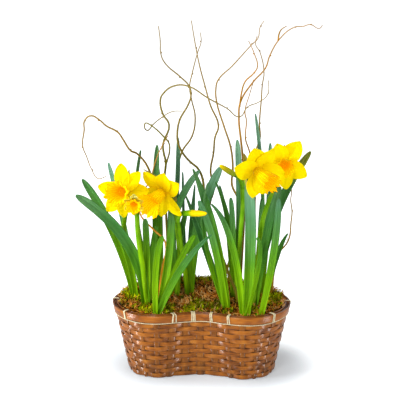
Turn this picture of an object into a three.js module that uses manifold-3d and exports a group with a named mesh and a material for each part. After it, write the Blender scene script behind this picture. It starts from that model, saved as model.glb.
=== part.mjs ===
// Potted daffodils in a woven bamboo basket, with moss round the shoots and curly willow twigs among them.
// Millimetres, +Z up, +X to the right, -Y to the front. The origin is the middle of the basket's underside.
import * as THREE from "three";
import { mergeVertices } from "three/addons/utils/BufferGeometryUtils.js";
import Module from "manifold-3d";

const wasm = await Module();
wasm.setup();

// Driving dimensions
const rimLength = 250; // over the outer rim band, end to end
const rimDepth = 130; // over the outer rim band, front to back at each lobe
const waistDepth = 104; // the same, at the pinched middle
const basketHeight = 100;
const wallSlope = 0.2; // how far the wall leans in for each millimetre down
const gap = 0.3; // between pieces that touch

// The basket's plan: two round lobes joined by two hollow waist arcs, all as arcs of circles
const lobeRadius = rimDepth / 2;
const lobeCentre = rimLength / 2 - lobeRadius;
const waistHalf = waistDepth / 2;
const waistRadius =
  (lobeCentre ** 2 + waistHalf ** 2 - lobeRadius ** 2) / (2 * (lobeRadius - waistHalf));
const waistCentre = waistHalf + waistRadius;
const lobeSweep = Math.PI - Math.atan2(waistCentre, lobeCentre); // half the angle that a lobe's arc takes
const waistSweep = Math.atan2(lobeCentre, waistCentre);

// The weave: upright stakes, and flat weavers that pass over and under them in turn
const lobeStakes = 10;
const waistStakes = 4;
const stakes = 2 * (lobeStakes + waistStakes);
const stakeShare = 0.46; // of the pitch that a stake covers
const weaverRows = 12;
const weaverPitch = 7.1;
const weaverStart = 1;
const weaverRelief = 1.1; // how far a weaver stands out where it crosses over a stake
const stakeRelief = 0.5; // how far it lies in where it goes behind one
const wallThickness = 3.2;
const wallTop = 97.5;

// The rim: two bands that pinch the stakes between them, lashed with split cane
const bandHeight = 11.5;
const bandThickness = 2.2;
const innerBandHeight = 10;
const wallTopInset = 2.6; // of the wall's outer face at the rim's height, from the outer band's face
const laceRadius = 0.7;
const laceDrop = 0.4 + laceRadius;
const wrapWidth = 4.4;
const wrapThickness = 0.9;
const wrapStations = [0.24, 2.8, 5.2, 7.6, 9.9, 11.4, 12.7, 14.1, 16.5, 18.9, 21.1, 24, 25.5, 26.9];

// What fills the basket
const baseThickness = 3;
const linerThickness = 0.8;
const linerTop = 88.2;
const soilTop = 88;
const mossRings = 4;
const neckTop = 114; // where a shoot's sheath ends and its leaves part
const leafRoot = 97; // how low in the sheath the leaves start
const mossHole = 8.5; // radius of the hole that a shoot comes up through
const twigRoot = 52; // how low in the soil a twig is pushed

const colours = {
  bamboo: 0x9c6232,
  bambooRim: 0x97552a,
  cane: 0xcdb98a,
  liner: 0x2c2a26,
  soil: 0x33251b,
  moss: 0x6f6a22,
  leaf: 0x4d9440,
  petal: 0xfbdc06,
  corona: 0xfdb405,
  bud: 0xd9c216,
  willow: 0x8a6a2c,
};

// Each shoot: where its bulb lies, where it leaves the moss, and its leaves. A leaf is a strap that
// runs from the sheath through mid to tip. face is the way its flat side looks at the root and at
// the tip, in degrees round from the front, and a slim leaf ends in a long point.
const shoots = [
  {
    name: "daffodil_1",
    bulb: [-86, 3],
    exit: [-89, -5],
    leaves: [
      { mid: [-116, -13, 192], tip: [-160, -22, 279], width: 12.5, face: [10, -15] },
      { mid: [-106, 8, 196], tip: [-130, 22, 292], width: 10, face: [-20, -50] },
      { mid: [-98, -14, 157], tip: [-112, -16, 201], width: 9, face: [0, 20] },
    ],
  },
  {
    name: "daffodil_2",
    bulb: [-76, -24],
    exit: [-74, -23],
    leaves: [
      { mid: [-96, -42, 193], tip: [-162, -66, 268], width: 15, face: [5, -20] },
      { mid: [-74, -22, 174], tip: [-76, -20, 224], width: 10, face: [10, 25] },
      { mid: [-68, -14, 166], tip: [-61, -6, 210], width: 9, face: [30, 20] },
    ],
  },
  {
    name: "daffodil_3",
    bulb: [-51, -31],
    exit: [-60, -47],
    leaves: [
      { mid: [-58, -58, 166], tip: [-48, -66, 214], width: 9, face: [-10, 15] },
      { mid: [-23, -60, 168], tip: [17, -74, 219], width: 10.5, face: [0, 10], slim: true },
      { mid: [-31, -48, 164], tip: [-6, -46, 210], width: 9, face: [20, 5] },
      { mid: [-43, -36, 169], tip: [-40, -18, 238], width: 11, face: [15, -10] },
    ],
  },
  {
    name: "daffodil_4",
    bulb: [-38, 3],
    exit: [-35, 5],
    leaves: [
      { mid: [-41, 0, 176], tip: [-40, -2, 246], width: 12, face: [0, 15] },
      { mid: [-30, -4, 179], tip: [-21, -5, 228], width: 8.5, face: [-15, 10] },
      { mid: [-41, 8, 203], tip: [-3, 12, 285], width: 10.5, face: [20, -15] },
    ],
  },
  {
    name: "daffodil_5",
    bulb: [-10, 5],
    exit: [-19, 5],
    leaves: [
      { mid: [-15, 10, 188], tip: [-10, 18, 263], width: 9, face: [-15, 20], slim: true },
      { mid: [-5, 2, 205], tip: [27, 6, 292], width: 14, face: [10, -10] },
      { mid: [-26, 24, 193], tip: [-28, 34, 277], width: 8, face: [60, 80] },
    ],
  },
  {
    name: "daffodil_6",
    bulb: [-62, 26],
    exit: [-60, 22],
    leaves: [
      { mid: [-92, 28, 201], tip: [-87, 40, 306], width: 9, face: [50, 70] },
      { mid: [-66, 30, 205], tip: [-63, 30, 316], width: 9.5, face: [-20, 20] },
      { mid: [-59, 18, 203], tip: [-61, 14, 293], width: 9, face: [10, -30] },
      { mid: [-40, 34, 210], tip: [-35, 40, 325], width: 10, face: [45, 60] },
    ],
  },
  {
    name: "daffodil_7",
    bulb: [36, -18],
    exit: [39, -31],
    leaves: [
      { mid: [17, -34, 214], tip: [-10, -30, 297], width: 14.5, face: [10, -10], slim: true },
      { mid: [19, -38, 194], tip: [-2, -41, 256], width: 10, face: [0, 15] },
      { mid: [6, -21, 185], tip: [-20, -23, 258], width: 10, face: [-10, 10], slim: true },
      { mid: [7, -34, 200], tip: [10, -36, 279], width: 6, face: [10, 20], slim: true },
    ],
  },
  {
    name: "daffodil_8",
    bulb: [59, -33],
    exit: [61, -47],
    leaves: [
      { mid: [68, -50, 205], tip: [64, -42, 284], width: 15, face: [5, -5] },
      { mid: [43, -36, 195], tip: [14, -20, 246], width: 10.5, face: [-15, 10], slim: true },
      { mid: [80, -62, 179], tip: [76, -66, 213], width: 6.5, face: [20, 30] },
    ],
  },
  {
    name: "daffodil_9",
    bulb: [68, -2],
    exit: [72, -20],
    leaves: [
      { mid: [98, -1, 217], tip: [148, 13, 313], width: 12.5, face: [-10, 15] },
      { mid: [90, -22, 205], tip: [107, -22, 272], width: 11, face: [10, -15] },
    ],
  },
  {
    name: "daffodil_10",
    bulb: [84, -25],
    exit: [81, -44],
    leaves: [
      { mid: [99, -52, 192], tip: [104, -56, 265], width: 10.5, face: [10, 30] },
      { mid: [101, -36, 170], tip: [118, -30, 209], width: 8.5, face: [-20, 10], slim: true },
    ],
  },
  {
    name: "daffodil_11",
    bulb: [42, 15],
    exit: [46, 4],
    leaves: [
      { mid: [52, 8, 223], tip: [48, 14, 328], width: 9.5, face: [25, -10] },
      { mid: [44, -4, 191], tip: [40, -8, 252], width: 8, face: [-10, 20] },
      { mid: [39, 0, 201], tip: [19, -4, 273], width: 9, face: [0, 20], slim: true },
      { mid: [35, 14, 205], tip: [24, 20, 262], width: 7.5, face: [30, 55], slim: true },
    ],
  },
  {
    name: "daffodil_12",
    bulb: [84, 20],
    exit: [82, 14],
    leaves: [
      { mid: [92, 24, 219], tip: [93, 32, 320], width: 8, face: [-20, 15] },
      { mid: [84, 34, 231], tip: [72, 40, 359], width: 8, face: [40, 60] },
      { mid: [81, 18, 177], tip: [83, 22, 245], width: 9, face: [15, 30] },
    ],
  },
];

// Each bloom: the middle of its ring of petals, the way its trumpet points, the stem that carries it,
// and its petals by their angles. open is how far each petal lies back from the trumpet, in degrees,
// wide is how wide they are for their size, and mouth is the radius of the trumpet's lip.
const blooms = [
  {
    name: "bloom_1",
    shoot: "daffodil_1",
    centre: [-104, -30, 265],
    facing: [-0.14, -0.97, 0.16],
    petals: [96, 48, 2, -86, -126, 173],
    open: [88, 88, 88, 88, 88, 88],
    size: 0.94,
    wide: 0.88,
    mouth: 16,
    stem: [[-98, -6, 150], [-107, -4, 205]],
  },
  {
    name: "bloom_2",
    shoot: "daffodil_2",
    centre: [-84, -66, 261],
    facing: [0.02, -0.99, -0.07],
    petals: [90, 30, -30, -90, -150, 150],
    open: [34, 34, 34, 34, 34, 34],
    size: 0.62,
    wide: 1,
    mouth: 9.8,
    stem: [[-78, -34, 155], [-83, -42, 205], [-84, -44, 232]],
  },
  {
    name: "bloom_3",
    shoot: "daffodil_4",
    centre: [-51, -31, 264],
    facing: [-0.47, -0.82, -0.3],
    petals: [124, 68, 32, -47, -103, 197],
    open: [82, 82, 82, 82, 82, 82],
    size: 1,
    wide: 0.94,
    mouth: 17.5,
    stem: [[-31, -2, 180], [-35, -9, 225]],
  },
  {
    name: "bloom_4",
    shoot: "daffodil_8",
    centre: [76, -66, 303],
    facing: [0.53, -0.79, -0.28],
    petals: [111, 162, 0, 68, -93, -64],
    open: [82, 82, 58, 82, 82, 82],
    size: 1,
    wide: 1.04,
    mouth: 12,
    stem: [[65, -40, 170], [69, -40, 235]],
  },
  {
    name: "bloom_5",
    shoot: "daffodil_9",
    centre: [112, -4, 300],
    facing: [0.02, -0.99, 0.02],
    petals: [57, 111, -30, -86, 160, 215],
    open: [80, 80, 80, 80, 80, 80],
    size: 0.94,
    wide: 0.96,
    mouth: 11,
    stem: [[78, -14, 165], [85, -8, 225]],
  },
];

// Closed buds: where the stem ends, and where the bud's point is
const buds = [
  {
    name: "bud_1",
    shoot: "daffodil_5",
    base: [-22, -33, 236],
    point: [10.5, -66, 245.5],
    radius: 4.5,
    stem: [[-24, -8, 160], [-30, -18, 210], [-30, -24, 227]],
  },
  {
    name: "bud_2",
    shoot: "daffodil_11",
    base: [47, -11, 284],
    point: [25, -20, 300],
    radius: 4,
    stem: [[54, -2, 200], [56, -4, 262], [53, -8, 277]],
  },
];

// The twigs of curly willow, each a route from the soil to its tip. A fork starts inside the twig
// that it grows from. thick is the diameter at the root and at the tip.
const twigs = [
  {
    name: "willow_1",
    thick: [3, 1.1],
    route: [[-62, 44, 112], [-64, 44, 175], [-66, 40, 213], [-74, 34, 277], [-90, 22, 305], [-98, 14, 311],
      [-108, 10, 328], [-114, 6, 338], [-129, 0, 348], [-137, -6, 357], [-148, -8, 363], [-157, -6, 356],
      [-159, 0, 342], [-163, 8, 318], [-159, 14, 302], [-152, 12, 284], [-143, 6, 273], [-131, 2, 277]],
    forks: [],
  },
  {
    name: "willow_2",
    thick: [2.8, 1],
    route: [[-46, 14, 112], [-49, 12, 203], [-51, 8, 277], [-49, 4, 298], [-52, 6, 311], [-53, 10, 321],
      [-45, 16, 347], [-54, 22, 361], [-57, 20, 380], [-51, 12, 392], [-38, 4, 402], [-17, -8, 404],
      [10, -14, 389], [34, -8, 375], [52, 2, 362], [61, 6, 374], [76, 0, 382], [88, -8, 394], [89, -10, 413]],
    forks: [
      [[-50, 6, 290], [-46, 0, 303], [-43, -4, 315], [-44, -8, 328], [-49, -8, 334], [-67, -6, 350],
        [-76, 0, 352], [-74, 6, 341], [-66, 8, 349], [-53, 4, 360], [-39, -4, 369], [-25, -10, 371]],
    ],
  },
  {
    name: "willow_3",
    thick: [3.2, 1.2],
    route: [[50, -14, 112], [40, -8, 138], [23, 4, 177], [8, 18, 205], [2, 22, 240], [1, 24, 267],
      [-6, 22, 285], [-15, 18, 294], [-25, 12, 307], [-32, 6, 324], [-33, 4, 336], [-30, 6, 355],
      [-18, 14, 377], [-15, 18, 389], [-18, 20, 400], [-29, 18, 412], [-49, 8, 432], [-54, 0, 446],
      [-54, -6, 463], [-56, -8, 483]],
    forks: [],
  },
  {
    name: "willow_4",
    thick: [3, 1.1],
    route: [[24, 8, 124], [15, 4, 146], [7, 8, 162], [4, 30, 191], [10, 34, 232], [16, 32, 258],
      [11, 34, 276], [15, 34, 305], [17, 30, 327], [22, 24, 345], [11, 20, 374], [4, 26, 397],
      [-4, 34, 424], [-9, 34, 448], [-15, 26, 487]],
    forks: [],
  },
  {
    name: "willow_5",
    thick: [2.8, 1],
    route: [[-31, 32, 112], [-33, 42, 176], [-36, 46, 234], [-36, 50, 275], [-30, 52, 302], [-16, 50, 324],
      [-11, 44, 352], [-16, 36, 381], [-18, 34, 397], [-15, 38, 413], [-7, 46, 444], [-3, 48, 456],
      [-4, 46, 469]],
    forks: [],
  },
  {
    name: "willow_6",
    thick: [2.8, 1],
    route: [[30, 32, 112], [46, 28, 182], [50, 28, 239], [41, 30, 260], [42, 30, 284], [39, 28, 313],
      [30, 20, 344], [20, 10, 380], [19, 4, 399], [22, 2, 411], [40, 4, 429], [66, 12, 457],
      [74, 14, 465], [77, 10, 481], [82, 6, 489]],
    forks: [],
  },
  {
    name: "willow_7",
    thick: [3, 1],
    route: [[54, 40, 112], [58, 36, 216], [57, 28, 279], [56, 24, 297], [53, 18, 326], [50, 10, 359],
      [52, 6, 381], [69, 4, 409], [85, 8, 427], [90, 12, 442], [103, 12, 465], [123, 2, 482],
      [132, -4, 483], [142, -8, 486], [154, -6, 481], [158, -4, 485]],
    forks: [
      [[57, 32, 250], [66, 34, 288], [65, 32, 306], [59, 26, 327], [60, 20, 354], [58, 18, 365],
        [64, 14, 390], [69, 4, 409]],
      [[51, 7, 374], [53, 0, 392], [58, -4, 410], [69, -10, 422], [74, -12, 431], [70, -8, 447],
        [62, -4, 464]],
      [[101, 12, 462], [102, 14, 471], [105, 14, 477], [112, 12, 482]],
    ],
  },
  {
    name: "willow_8",
    thick: [2.6, 1],
    route: [[74, 40, 112], [73, 48, 235], [73, 50, 292], [74, 50, 306], [79, 49, 323], [78, 47, 343],
      [80, 40, 379], [81, 33, 400], [83, 26, 418], [77, 24, 446], [71, 22, 457], [73, 24, 467]],
    forks: [],
  },
  {
    name: "willow_9",
    thick: [2.4, 1.1],
    route: [[99, 10, 112], [101, 10, 140], [105, 8, 165], [120, 4, 189], [123, 0, 217], [124, 0, 231],
      [122, 4, 247], [123, 8, 258], [120, 12, 273]],
    forks: [],
  },
  {
    name: "willow_10",
    thick: [2.6, 1.1],
    route: [[-58, -6, 112], [-54, -10, 148], [-48, -18, 188], [-53, -20, 198], [-64, -14, 206], [-85, -6, 229],
      [-85, 2, 250], [-71, 6, 270], [-65, 4, 292], [-56, 0, 316], [-45, -4, 336]],
    forks: [],
  },
];

const vec = (p) => new THREE.Vector3(...p);
const degrees = (d) => (d * Math.PI) / 180;

// Geometry from a list of points and of triangles that index them.
function geometryOf(points, triangles) {
  const geometry = new THREE.BufferGeometry();
  geometry.setAttribute("position", new THREE.Float32BufferAttribute(points.flatMap((p) => [p.x, p.y, p.z]), 3));
  geometry.setIndex(triangles.flat());
  return geometry;
}

// Skins a row of rings that have the same number of points, and closes both ends with a flat cap.
function skinned(rings) {
  const sides = rings[0].length;
  const points = rings.flat();
  const triangles = [];
  for (let k = 0; k + 1 < rings.length; k++)
    for (let i = 0; i < sides; i++) {
      const a = k * sides + i;
      const b = k * sides + ((i + 1) % sides);
      triangles.push([a, b, b + sides], [a, b + sides, a + sides]);
    }
  const last = (rings.length - 1) * sides;
  for (let i = 1; i + 1 < sides; i++) {
    triangles.push([0, i + 1, i]);
    triangles.push([last, last + i, last + i + 1]);
  }
  return geometryOf(points, triangles);
}

// Skins a row of closed sections that goes all the way round and meets itself.
function skinnedRound(sections) {
  const sides = sections[0].length;
  const points = sections.flat();
  const triangles = [];
  sections.forEach((_, k) => {
    const next = ((k + 1) % sections.length) * sides;
    for (let i = 0; i < sides; i++) {
      const j = (i + 1) % sides;
      triangles.push([k * sides + i, k * sides + j, next + j], [k * sides + i, next + j, next + i]);
    }
  });
  return geometryOf(points, triangles);
}

// A closed mesh as a solid that can be cut and joined, its faces turned outwards.
function solidOf(geometry) {
  const bare = geometry.clone();
  bare.deleteAttribute("normal");
  bare.deleteAttribute("uv");
  const merged = mergeVertices(bare, 1e-4);
  const build = (triVerts) =>
    new wasm.Manifold(
      new wasm.Mesh({ numProp: 3, vertProperties: merged.attributes.position.array, triVerts }),
    );
  const made = build(new Uint32Array(merged.index.array));
  return made.volume() > 0 ? made : build(new Uint32Array(merged.index.array).reverse());
}

// A solid's surface as geometry.
function geometryFrom(solid) {
  const mesh = solid.getMesh();
  const geometry = new THREE.BufferGeometry();
  geometry.setAttribute("position", new THREE.BufferAttribute(mesh.vertProperties, 3));
  geometry.setIndex(new THREE.BufferAttribute(mesh.triVerts, 1));
  return geometry.toNonIndexed();
}

const joined = (solids) => solids.reduce((all, one) => all.add(one));

// A point of the basket's plan and the way out from it. station counts stakes round from the right
// lobe's front, and inset is how far in from the outer band's face the point lies.
function planPoint(inset, station) {
  const s = ((station % stakes) + stakes) % stakes;
  const half = stakes / 2;
  const side = s < half ? 1 : -1; // the left lobe and the front waist mirror the right lobe and the back waist
  const t = s % half;
  if (t < lobeStakes) {
    const angle = -lobeSweep + (2 * lobeSweep * t) / lobeStakes;
    const out = [side * Math.cos(angle), side * Math.sin(angle)];
    const r = lobeRadius - inset;
    return { x: side * lobeCentre + r * out[0], y: r * out[1], out };
  }
  const angle = waistSweep * (1 - (2 * (t - lobeStakes)) / waistStakes);
  const out = [-side * Math.sin(angle), side * Math.cos(angle)];
  const r = waistRadius + inset;
  return { x: -r * out[0], y: side * waistCentre - r * out[1], out };
}

// A ring of columns at the two edges of every stake.
const stakeEdges = Array.from({ length: 2 * stakes }, (_, i) => {
  const edge = i % 2 ? 1 + stakeShare : 1 - stakeShare;
  return Math.floor(i / 2) + edge / 2;
});

const planVector = (inset, station, z) => {
  const p = planPoint(inset, station);
  return new THREE.Vector3(p.x, p.y, z);
};

// How far in the wall's outer face lies at a height.
const wallInset = (z) => wallTopInset + wallSlope * (basketHeight - z);

// A band that follows the plan and the wall's lean, from one height to another.
function ringBand(low, high, outer, inner) {
  return skinnedRound(
    stakeEdges.map((s) => [
      planVector(outer(low), s, low),
      planVector(outer(high), s, high),
      planVector(inner(high), s, high),
      planVector(inner(low), s, low),
    ]),
  );
}

// A solid prism over the plan, given the inset at each of its heights.
function planPrism(heights, inset) {
  return skinnedFromCentre(heights.map((z) => stakeEdges.map((s) => planVector(inset(z), s, z))));
}

// The same as skinned, with each cap a fan round the ring's own middle, for a plan that isn't convex.
function skinnedFromCentre(rings) {
  const sides = rings[0].length;
  const points = rings.flat();
  const triangles = [];
  for (let k = 0; k + 1 < rings.length; k++)
    for (let i = 0; i < sides; i++) {
      const a = k * sides + i;
      const b = k * sides + ((i + 1) % sides);
      triangles.push([a, b, b + sides], [a, b + sides, a + sides]);
    }
  for (const [ring, start, flip] of [
    [rings[0], 0, true],
    [rings.at(-1), (rings.length - 1) * sides, false],
  ]) {
    const middle = ring.reduce((sum, p) => sum.add(p), new THREE.Vector3()).divideScalar(sides);
    points.push(middle);
    for (let i = 0; i < sides; i++) {
      const pair = [start + i, start + ((i + 1) % sides)];
      triangles.push([points.length - 1, ...(flip ? pair.reverse() : pair)]);
    }
  }
  return geometryOf(points, triangles);
}

// The woven wall: one column of points for each edge of a stake, in or out by turns with the rows.
function basketWall() {
  const sections = stakeEdges.map((station, i) => {
    const stake = Math.floor(i / 2);
    const section = [planVector(wallInset(0), station, 0)];
    for (let row = 0; row < weaverRows; row++) {
      const relief = (stake + row) % 2 ? weaverRelief : -stakeRelief;
      const z = weaverStart + (row + 0.5) * weaverPitch;
      section.push(planVector(wallInset(z) - relief, station, z));
    }
    for (const z of [basketHeight - bandHeight - 1, wallTop]) section.push(planVector(wallInset(z), station, z));
    section.push(planVector(wallInset(wallTop) + wallThickness, station, wallTop));
    section.push(planVector(wallInset(0) + wallThickness, station, 0));
    return section;
  });
  return skinnedRound(sections);
}

const basketBase = () =>
  planPrism([0, baseThickness], () => wallInset(0) + wallThickness + gap);

const outerBand = () => {
  const face = (z) => wallSlope * (basketHeight - z);
  return ringBand(basketHeight - bandHeight, basketHeight, face, (z) => face(z) + bandThickness);
};

const innerBandFace = (z) => wallInset(z) + wallThickness + gap;
const innerBand = () =>
  ringBand(basketHeight - innerBandHeight, basketHeight, innerBandFace, (z) => innerBandFace(z) + bandThickness);

// A cane wrap: a strip that goes up the outer band, over the rim and down the inner band.
function laceWrap(station) {
  const half = wrapWidth / 2;
  const across = { lobe: half / lobeRadius, waist: half / waistRadius };
  const onLobe = station % (stakes / 2) < lobeStakes;
  const share = onLobe ? across.lobe / (2 * lobeSweep / lobeStakes) : across.waist / (2 * waistSweep / waistStakes);
  const low = basketHeight - bandHeight - laceDrop;
  const innerLow = basketHeight - innerBandHeight - 1.5;
  const top = basketHeight + gap;
  const outer = wallSlope * (basketHeight - low) - gap;
  const inner = innerBandFace(innerLow) + bandThickness + gap;
  const innerTop = innerBandFace(basketHeight) + bandThickness + gap;
  const profile = [
    [outer, low],
    [-gap, top],
    [innerTop, top],
    [inner, innerLow],
    [inner + wrapThickness, innerLow],
    [innerTop + wrapThickness, top + wrapThickness],
    [-gap - wrapThickness, top + wrapThickness],
    [outer - wrapThickness, low],
  ];
  const face = (s) => profile.map(([inset, z]) => planVector(inset, s, z));
  const [a, b] = [face(station - share), face(station + share)];
  const n = profile.length;
  const triangles = [];
  for (let i = 0; i < n; i++) {
    const j = (i + 1) % n;
    triangles.push([i, j, n + j], [i, n + j, n + i]);
  }
  for (let i = 0; i < n / 2 - 1; i++) {
    const [p, q, r, s] = [i, i + 1, n - 2 - i, n - 1 - i];
    triangles.push([p, r, q], [p, s, r]);
    triangles.push([n + p, n + q, n + r], [n + p, n + r, n + s]);
  }
  return geometryOf([...a, ...b], triangles);
}

// The cane that runs round below the outer band, with the wraps grown into it.
function rimLashing() {
  const z = basketHeight - bandHeight - laceDrop;
  const inset = wallSlope * (basketHeight - z) + laceRadius;
  const lace = skinnedRound(
    stakeEdges.map((s) => [
      planVector(inset - laceRadius - wrapThickness, s, z),
      planVector(inset, s, z + laceRadius),
      planVector(inset, s, z - laceRadius),
    ]),
  );
  return joined([solidOf(lace), ...wrapStations.map((s) => solidOf(laceWrap(s)))]);
}

const linerInset = (z) => wallInset(z) + wallThickness + gap;
function liner() {
  const floor = baseThickness + gap;
  const cup = planPrism([floor, linerTop], linerInset);
  const hollow = planPrism([floor + linerThickness, linerTop + 1], (z) => linerInset(z) + linerThickness);
  return solidOf(cup).subtract(solidOf(hollow));
}

// A shoot's bulb and sheath: rings from the bulb's root plate up to where the leaves part.
const bulbShape = [[42, 4], [50, 12], [60, 12], [71, 5.8], [83, 5.4], [neckTop, 5.8]];
const bulbSides = 6;
function sheath(shoot, extra) {
  const rings = bulbShape.map(([z, radius], k) => {
    const lean = THREE.MathUtils.clamp((z - 60) / 23, 0, 1);
    const x = THREE.MathUtils.lerp(shoot.bulb[0], shoot.exit[0], lean);
    const y = THREE.MathUtils.lerp(shoot.bulb[1], shoot.exit[1], lean);
    const height = z + (k === 0 ? -extra : 0);
    return Array.from({ length: bulbSides }, (_, i) => {
      const angle = (2 * Math.PI * i) / bulbSides;
      const r = radius + extra;
      return new THREE.Vector3(x + r * Math.cos(angle), y + r * Math.sin(angle), height);
    });
  });
  return solidOf(skinned(rings));
}

// An upright prism for a hole.
function post(x, y, low, high, radius, sides = 6) {
  const ring = (z) =>
    Array.from({ length: sides }, (_, i) => {
      const angle = (2 * Math.PI * (i + 0.5)) / sides;
      return new THREE.Vector3(x + radius * Math.cos(angle), y + radius * Math.sin(angle), z);
    });
  return solidOf(skinned([ring(low), ring(high)]));
}

// The potting soil, with a pit for each bulb and each twig.
function soil() {
  const inset = (z) => linerInset(z) + linerThickness + gap;
  const low = baseThickness + 2 * gap + linerThickness;
  const block = solidOf(planPrism([low, soilTop], inset));
  const pits = shoots.map((shoot) => sheath(shoot, 0.4));
  const holes = twigs.map(({ route: [[x, y]], thick }) =>
    post(x, y, twigRoot - gap, soilTop + 10, thick[0] / 2 + 0.7),
  );
  return block.subtract(joined([...pits, ...holes]));
}

// How high the moss stands: level with the rim in front, mounded behind between the clumps, and lumpy.
function mossHeight(x, y) {
  const back = THREE.MathUtils.smoothstep(y, -45, 40);
  const middle = 1 / (1 + (x / 48) ** 4);
  const lumps =
    1.6 * Math.sin(x * 0.23 + 1) * Math.cos(y * 0.27) + 1.2 * Math.sin(x * 0.51 + y * 0.37) * Math.cos(y * 0.6 - x * 0.2);
  return 97 + back * (7 + 13 * middle) + lumps;
}

// The sheet of moss on the soil, its upper side raised by a formula, with a plain hole for each stem.
function moss() {
  const edge = innerBandFace(soilTop) + bandThickness + 1.6;
  const low = soilTop + gap;
  const rings = [stakeEdges.map((s) => planVector(edge, s, low))];
  for (let k = 0; k < mossRings; k++) {
    const share = 1 - k / mossRings;
    rings.push(
      stakeEdges.map((s) => {
        const p = planPoint(edge, s);
        const [x, y] = [p.x * (0.15 + 0.85 * share), p.y * share];
        return new THREE.Vector3(x, y, k === 0 ? Math.min(96, mossHeight(x, y)) : mossHeight(x, y));
      }),
    );
  }
  const body = solidOf(skinnedFromCentre(rings));
  const holes = [
    ...shoots.map(({ exit: [x, y] }) => post(x, y, low - 1, 130, mossHole)),
    ...twigs.map(({ route: [[x, y]], thick }) => post(x, y, low - 1, 130, thick[0] / 2 + 1.2, 5)),
  ];
  return body.subtract(joined(holes));
}

// A thin sheet from rows of points on its front and the same rows on its back, split into triangles
// alike on both.
function sheet(fronts, backs) {
  const wide = fronts[0].length;
  const count = fronts.length * wide;
  const points = [...fronts.flat(), ...backs.flat()];
  const triangles = [];
  for (let k = 0; k + 1 < fronts.length; k++)
    for (let i = 0; i + 1 < wide; i++) {
      const [a, b, c, d] = [k * wide + i, k * wide + i + 1, (k + 1) * wide + i + 1, (k + 1) * wide + i];
      triangles.push([a, b, c], [a, c, d]);
      triangles.push([count + a, count + c, count + b], [count + a, count + d, count + c]);
    }
  const close = (from, to) => triangles.push([to, from, count + from], [to, count + from, count + to]);
  const last = count - wide;
  for (let i = 0; i + 1 < wide; i++) {
    close(i, i + 1);
    close(last + i + 1, last + i);
  }
  for (let k = 0; k + 1 < fronts.length; k++) {
    close((k + 1) * wide, k * wide);
    close((k + 1) * wide - 1, (k + 2) * wide - 1);
  }
  return solidOf(geometryOf(points, triangles));
}

// A strap leaf from its shoot's sheath through mid to tip.
const leafPlaces = [0, 0.24, 0.48, 0.7, 0.88, 1];
const leafWidths = [0.62, 0.92, 1, 0.97, 0.75, 0.22];
const slimWidths = [0.62, 0.92, 1, 0.8, 0.42, 0.12];
function leaf(shoot, { mid, tip, width, face, slim }) {
  const root = vec([...shoot.exit, leafRoot]);
  const middle = vec(mid);
  const end = vec(tip);
  const control = middle.clone().multiplyScalar(2).sub(root.clone().add(end).multiplyScalar(0.5));
  const route = new THREE.QuadraticBezierCurve3(root, control, end);
  const rows = leafPlaces.map((t, k) => {
    const along = route.getTangent(t);
    const look = degrees(THREE.MathUtils.lerp(face[0], face[1], t));
    const front = new THREE.Vector3(Math.sin(look), -Math.cos(look), 0.35);
    const side = along.clone().cross(front).normalize();
    const through = side.clone().cross(along).normalize().multiplyScalar(THREE.MathUtils.lerp(1, 0.5, t));
    const half = (width * (slim ? slimWidths : leafWidths)[k]) / 2;
    return [-half, half].map((across) => [route.getPoint(t).addScaledVector(side, across), through]);
  });
  return sheet(
    rows.map((row) => row.map(([at, through]) => at.clone().add(through))),
    rows.map((row) => row.map(([at, through]) => at.clone().sub(through))),
  );
}

// A round stem through a row of points, with a number of rings from each point to the next. Its radius
// is given by how far along the row a ring is, from 0 to 1.
function stalk(points, radius, sides, ringsPerPoint) {
  const route = new THREE.CatmullRomCurve3(points, false, "centripetal");
  const steps = (points.length - 1) * ringsPerPoint;
  const normal = new THREE.Vector3(0.31, 0.93, 0.2);
  const rings = Array.from({ length: steps + 1 }, (_, k) => {
    const along = route.getTangent(k / steps);
    normal.addScaledVector(along, -normal.dot(along)).normalize();
    const binormal = along.clone().cross(normal);
    const at = route.getPoint(k / steps);
    return Array.from({ length: sides }, (_, i) => {
      const angle = (2 * Math.PI * i) / sides;
      return at
        .clone()
        .addScaledVector(normal, radius(k / steps) * Math.cos(angle))
        .addScaledVector(binormal, radius(k / steps) * Math.sin(angle));
    });
  });
  return solidOf(skinned(rings));
}

const stemRadius = 3.5;
const stemEnd = 2.8; // its radius where it meets the ovary
const ovaryLength = 9;
const ovaryRadius = 4.2;
const tubeLength = 11;
const shootNamed = (name) => shoots.find((shoot) => shoot.name === name);

// The bare stem of a bloom: up from the sheath, over in a crook behind the petals, and into the ovary.
function bloomStem(bloom) {
  const facing = vec(bloom.facing).normalize();
  const centre = vec(bloom.centre);
  const back = (distance) => centre.clone().addScaledVector(facing, -distance * bloom.size);
  const crook = back(tubeLength + ovaryLength + 5);
  const below = crook.clone().add(new THREE.Vector3(-4 * facing.x, -4 * facing.y, -12).multiplyScalar(bloom.size));
  const root = vec([...shootNamed(bloom.shoot).exit, leafRoot]);
  const points = [root, ...bloom.stem.map(vec), below, crook, back(tubeLength + ovaryLength), back(tubeLength + gap)];
  const ovary = 1 - 0.9 / (points.length - 1);
  const radius = (t) => (t > ovary ? ovaryRadius * bloom.size : THREE.MathUtils.lerp(stemRadius, stemEnd, t));
  return stalk(points, radius, 5, 2);
}

function budStem(bud) {
  const root = vec([...shootNamed(bud.shoot).exit, leafRoot]);
  const radius = (t) => (t === 1 ? bud.radius * 0.8 : THREE.MathUtils.lerp(stemRadius, stemEnd, t));
  const base = vec(bud.base);
  const way = base.clone().sub(vec(bud.point)).setLength(4).add(base);
  return stalk([root, ...bud.stem.map(vec), way, base], radius, 5, 2);
}

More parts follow.
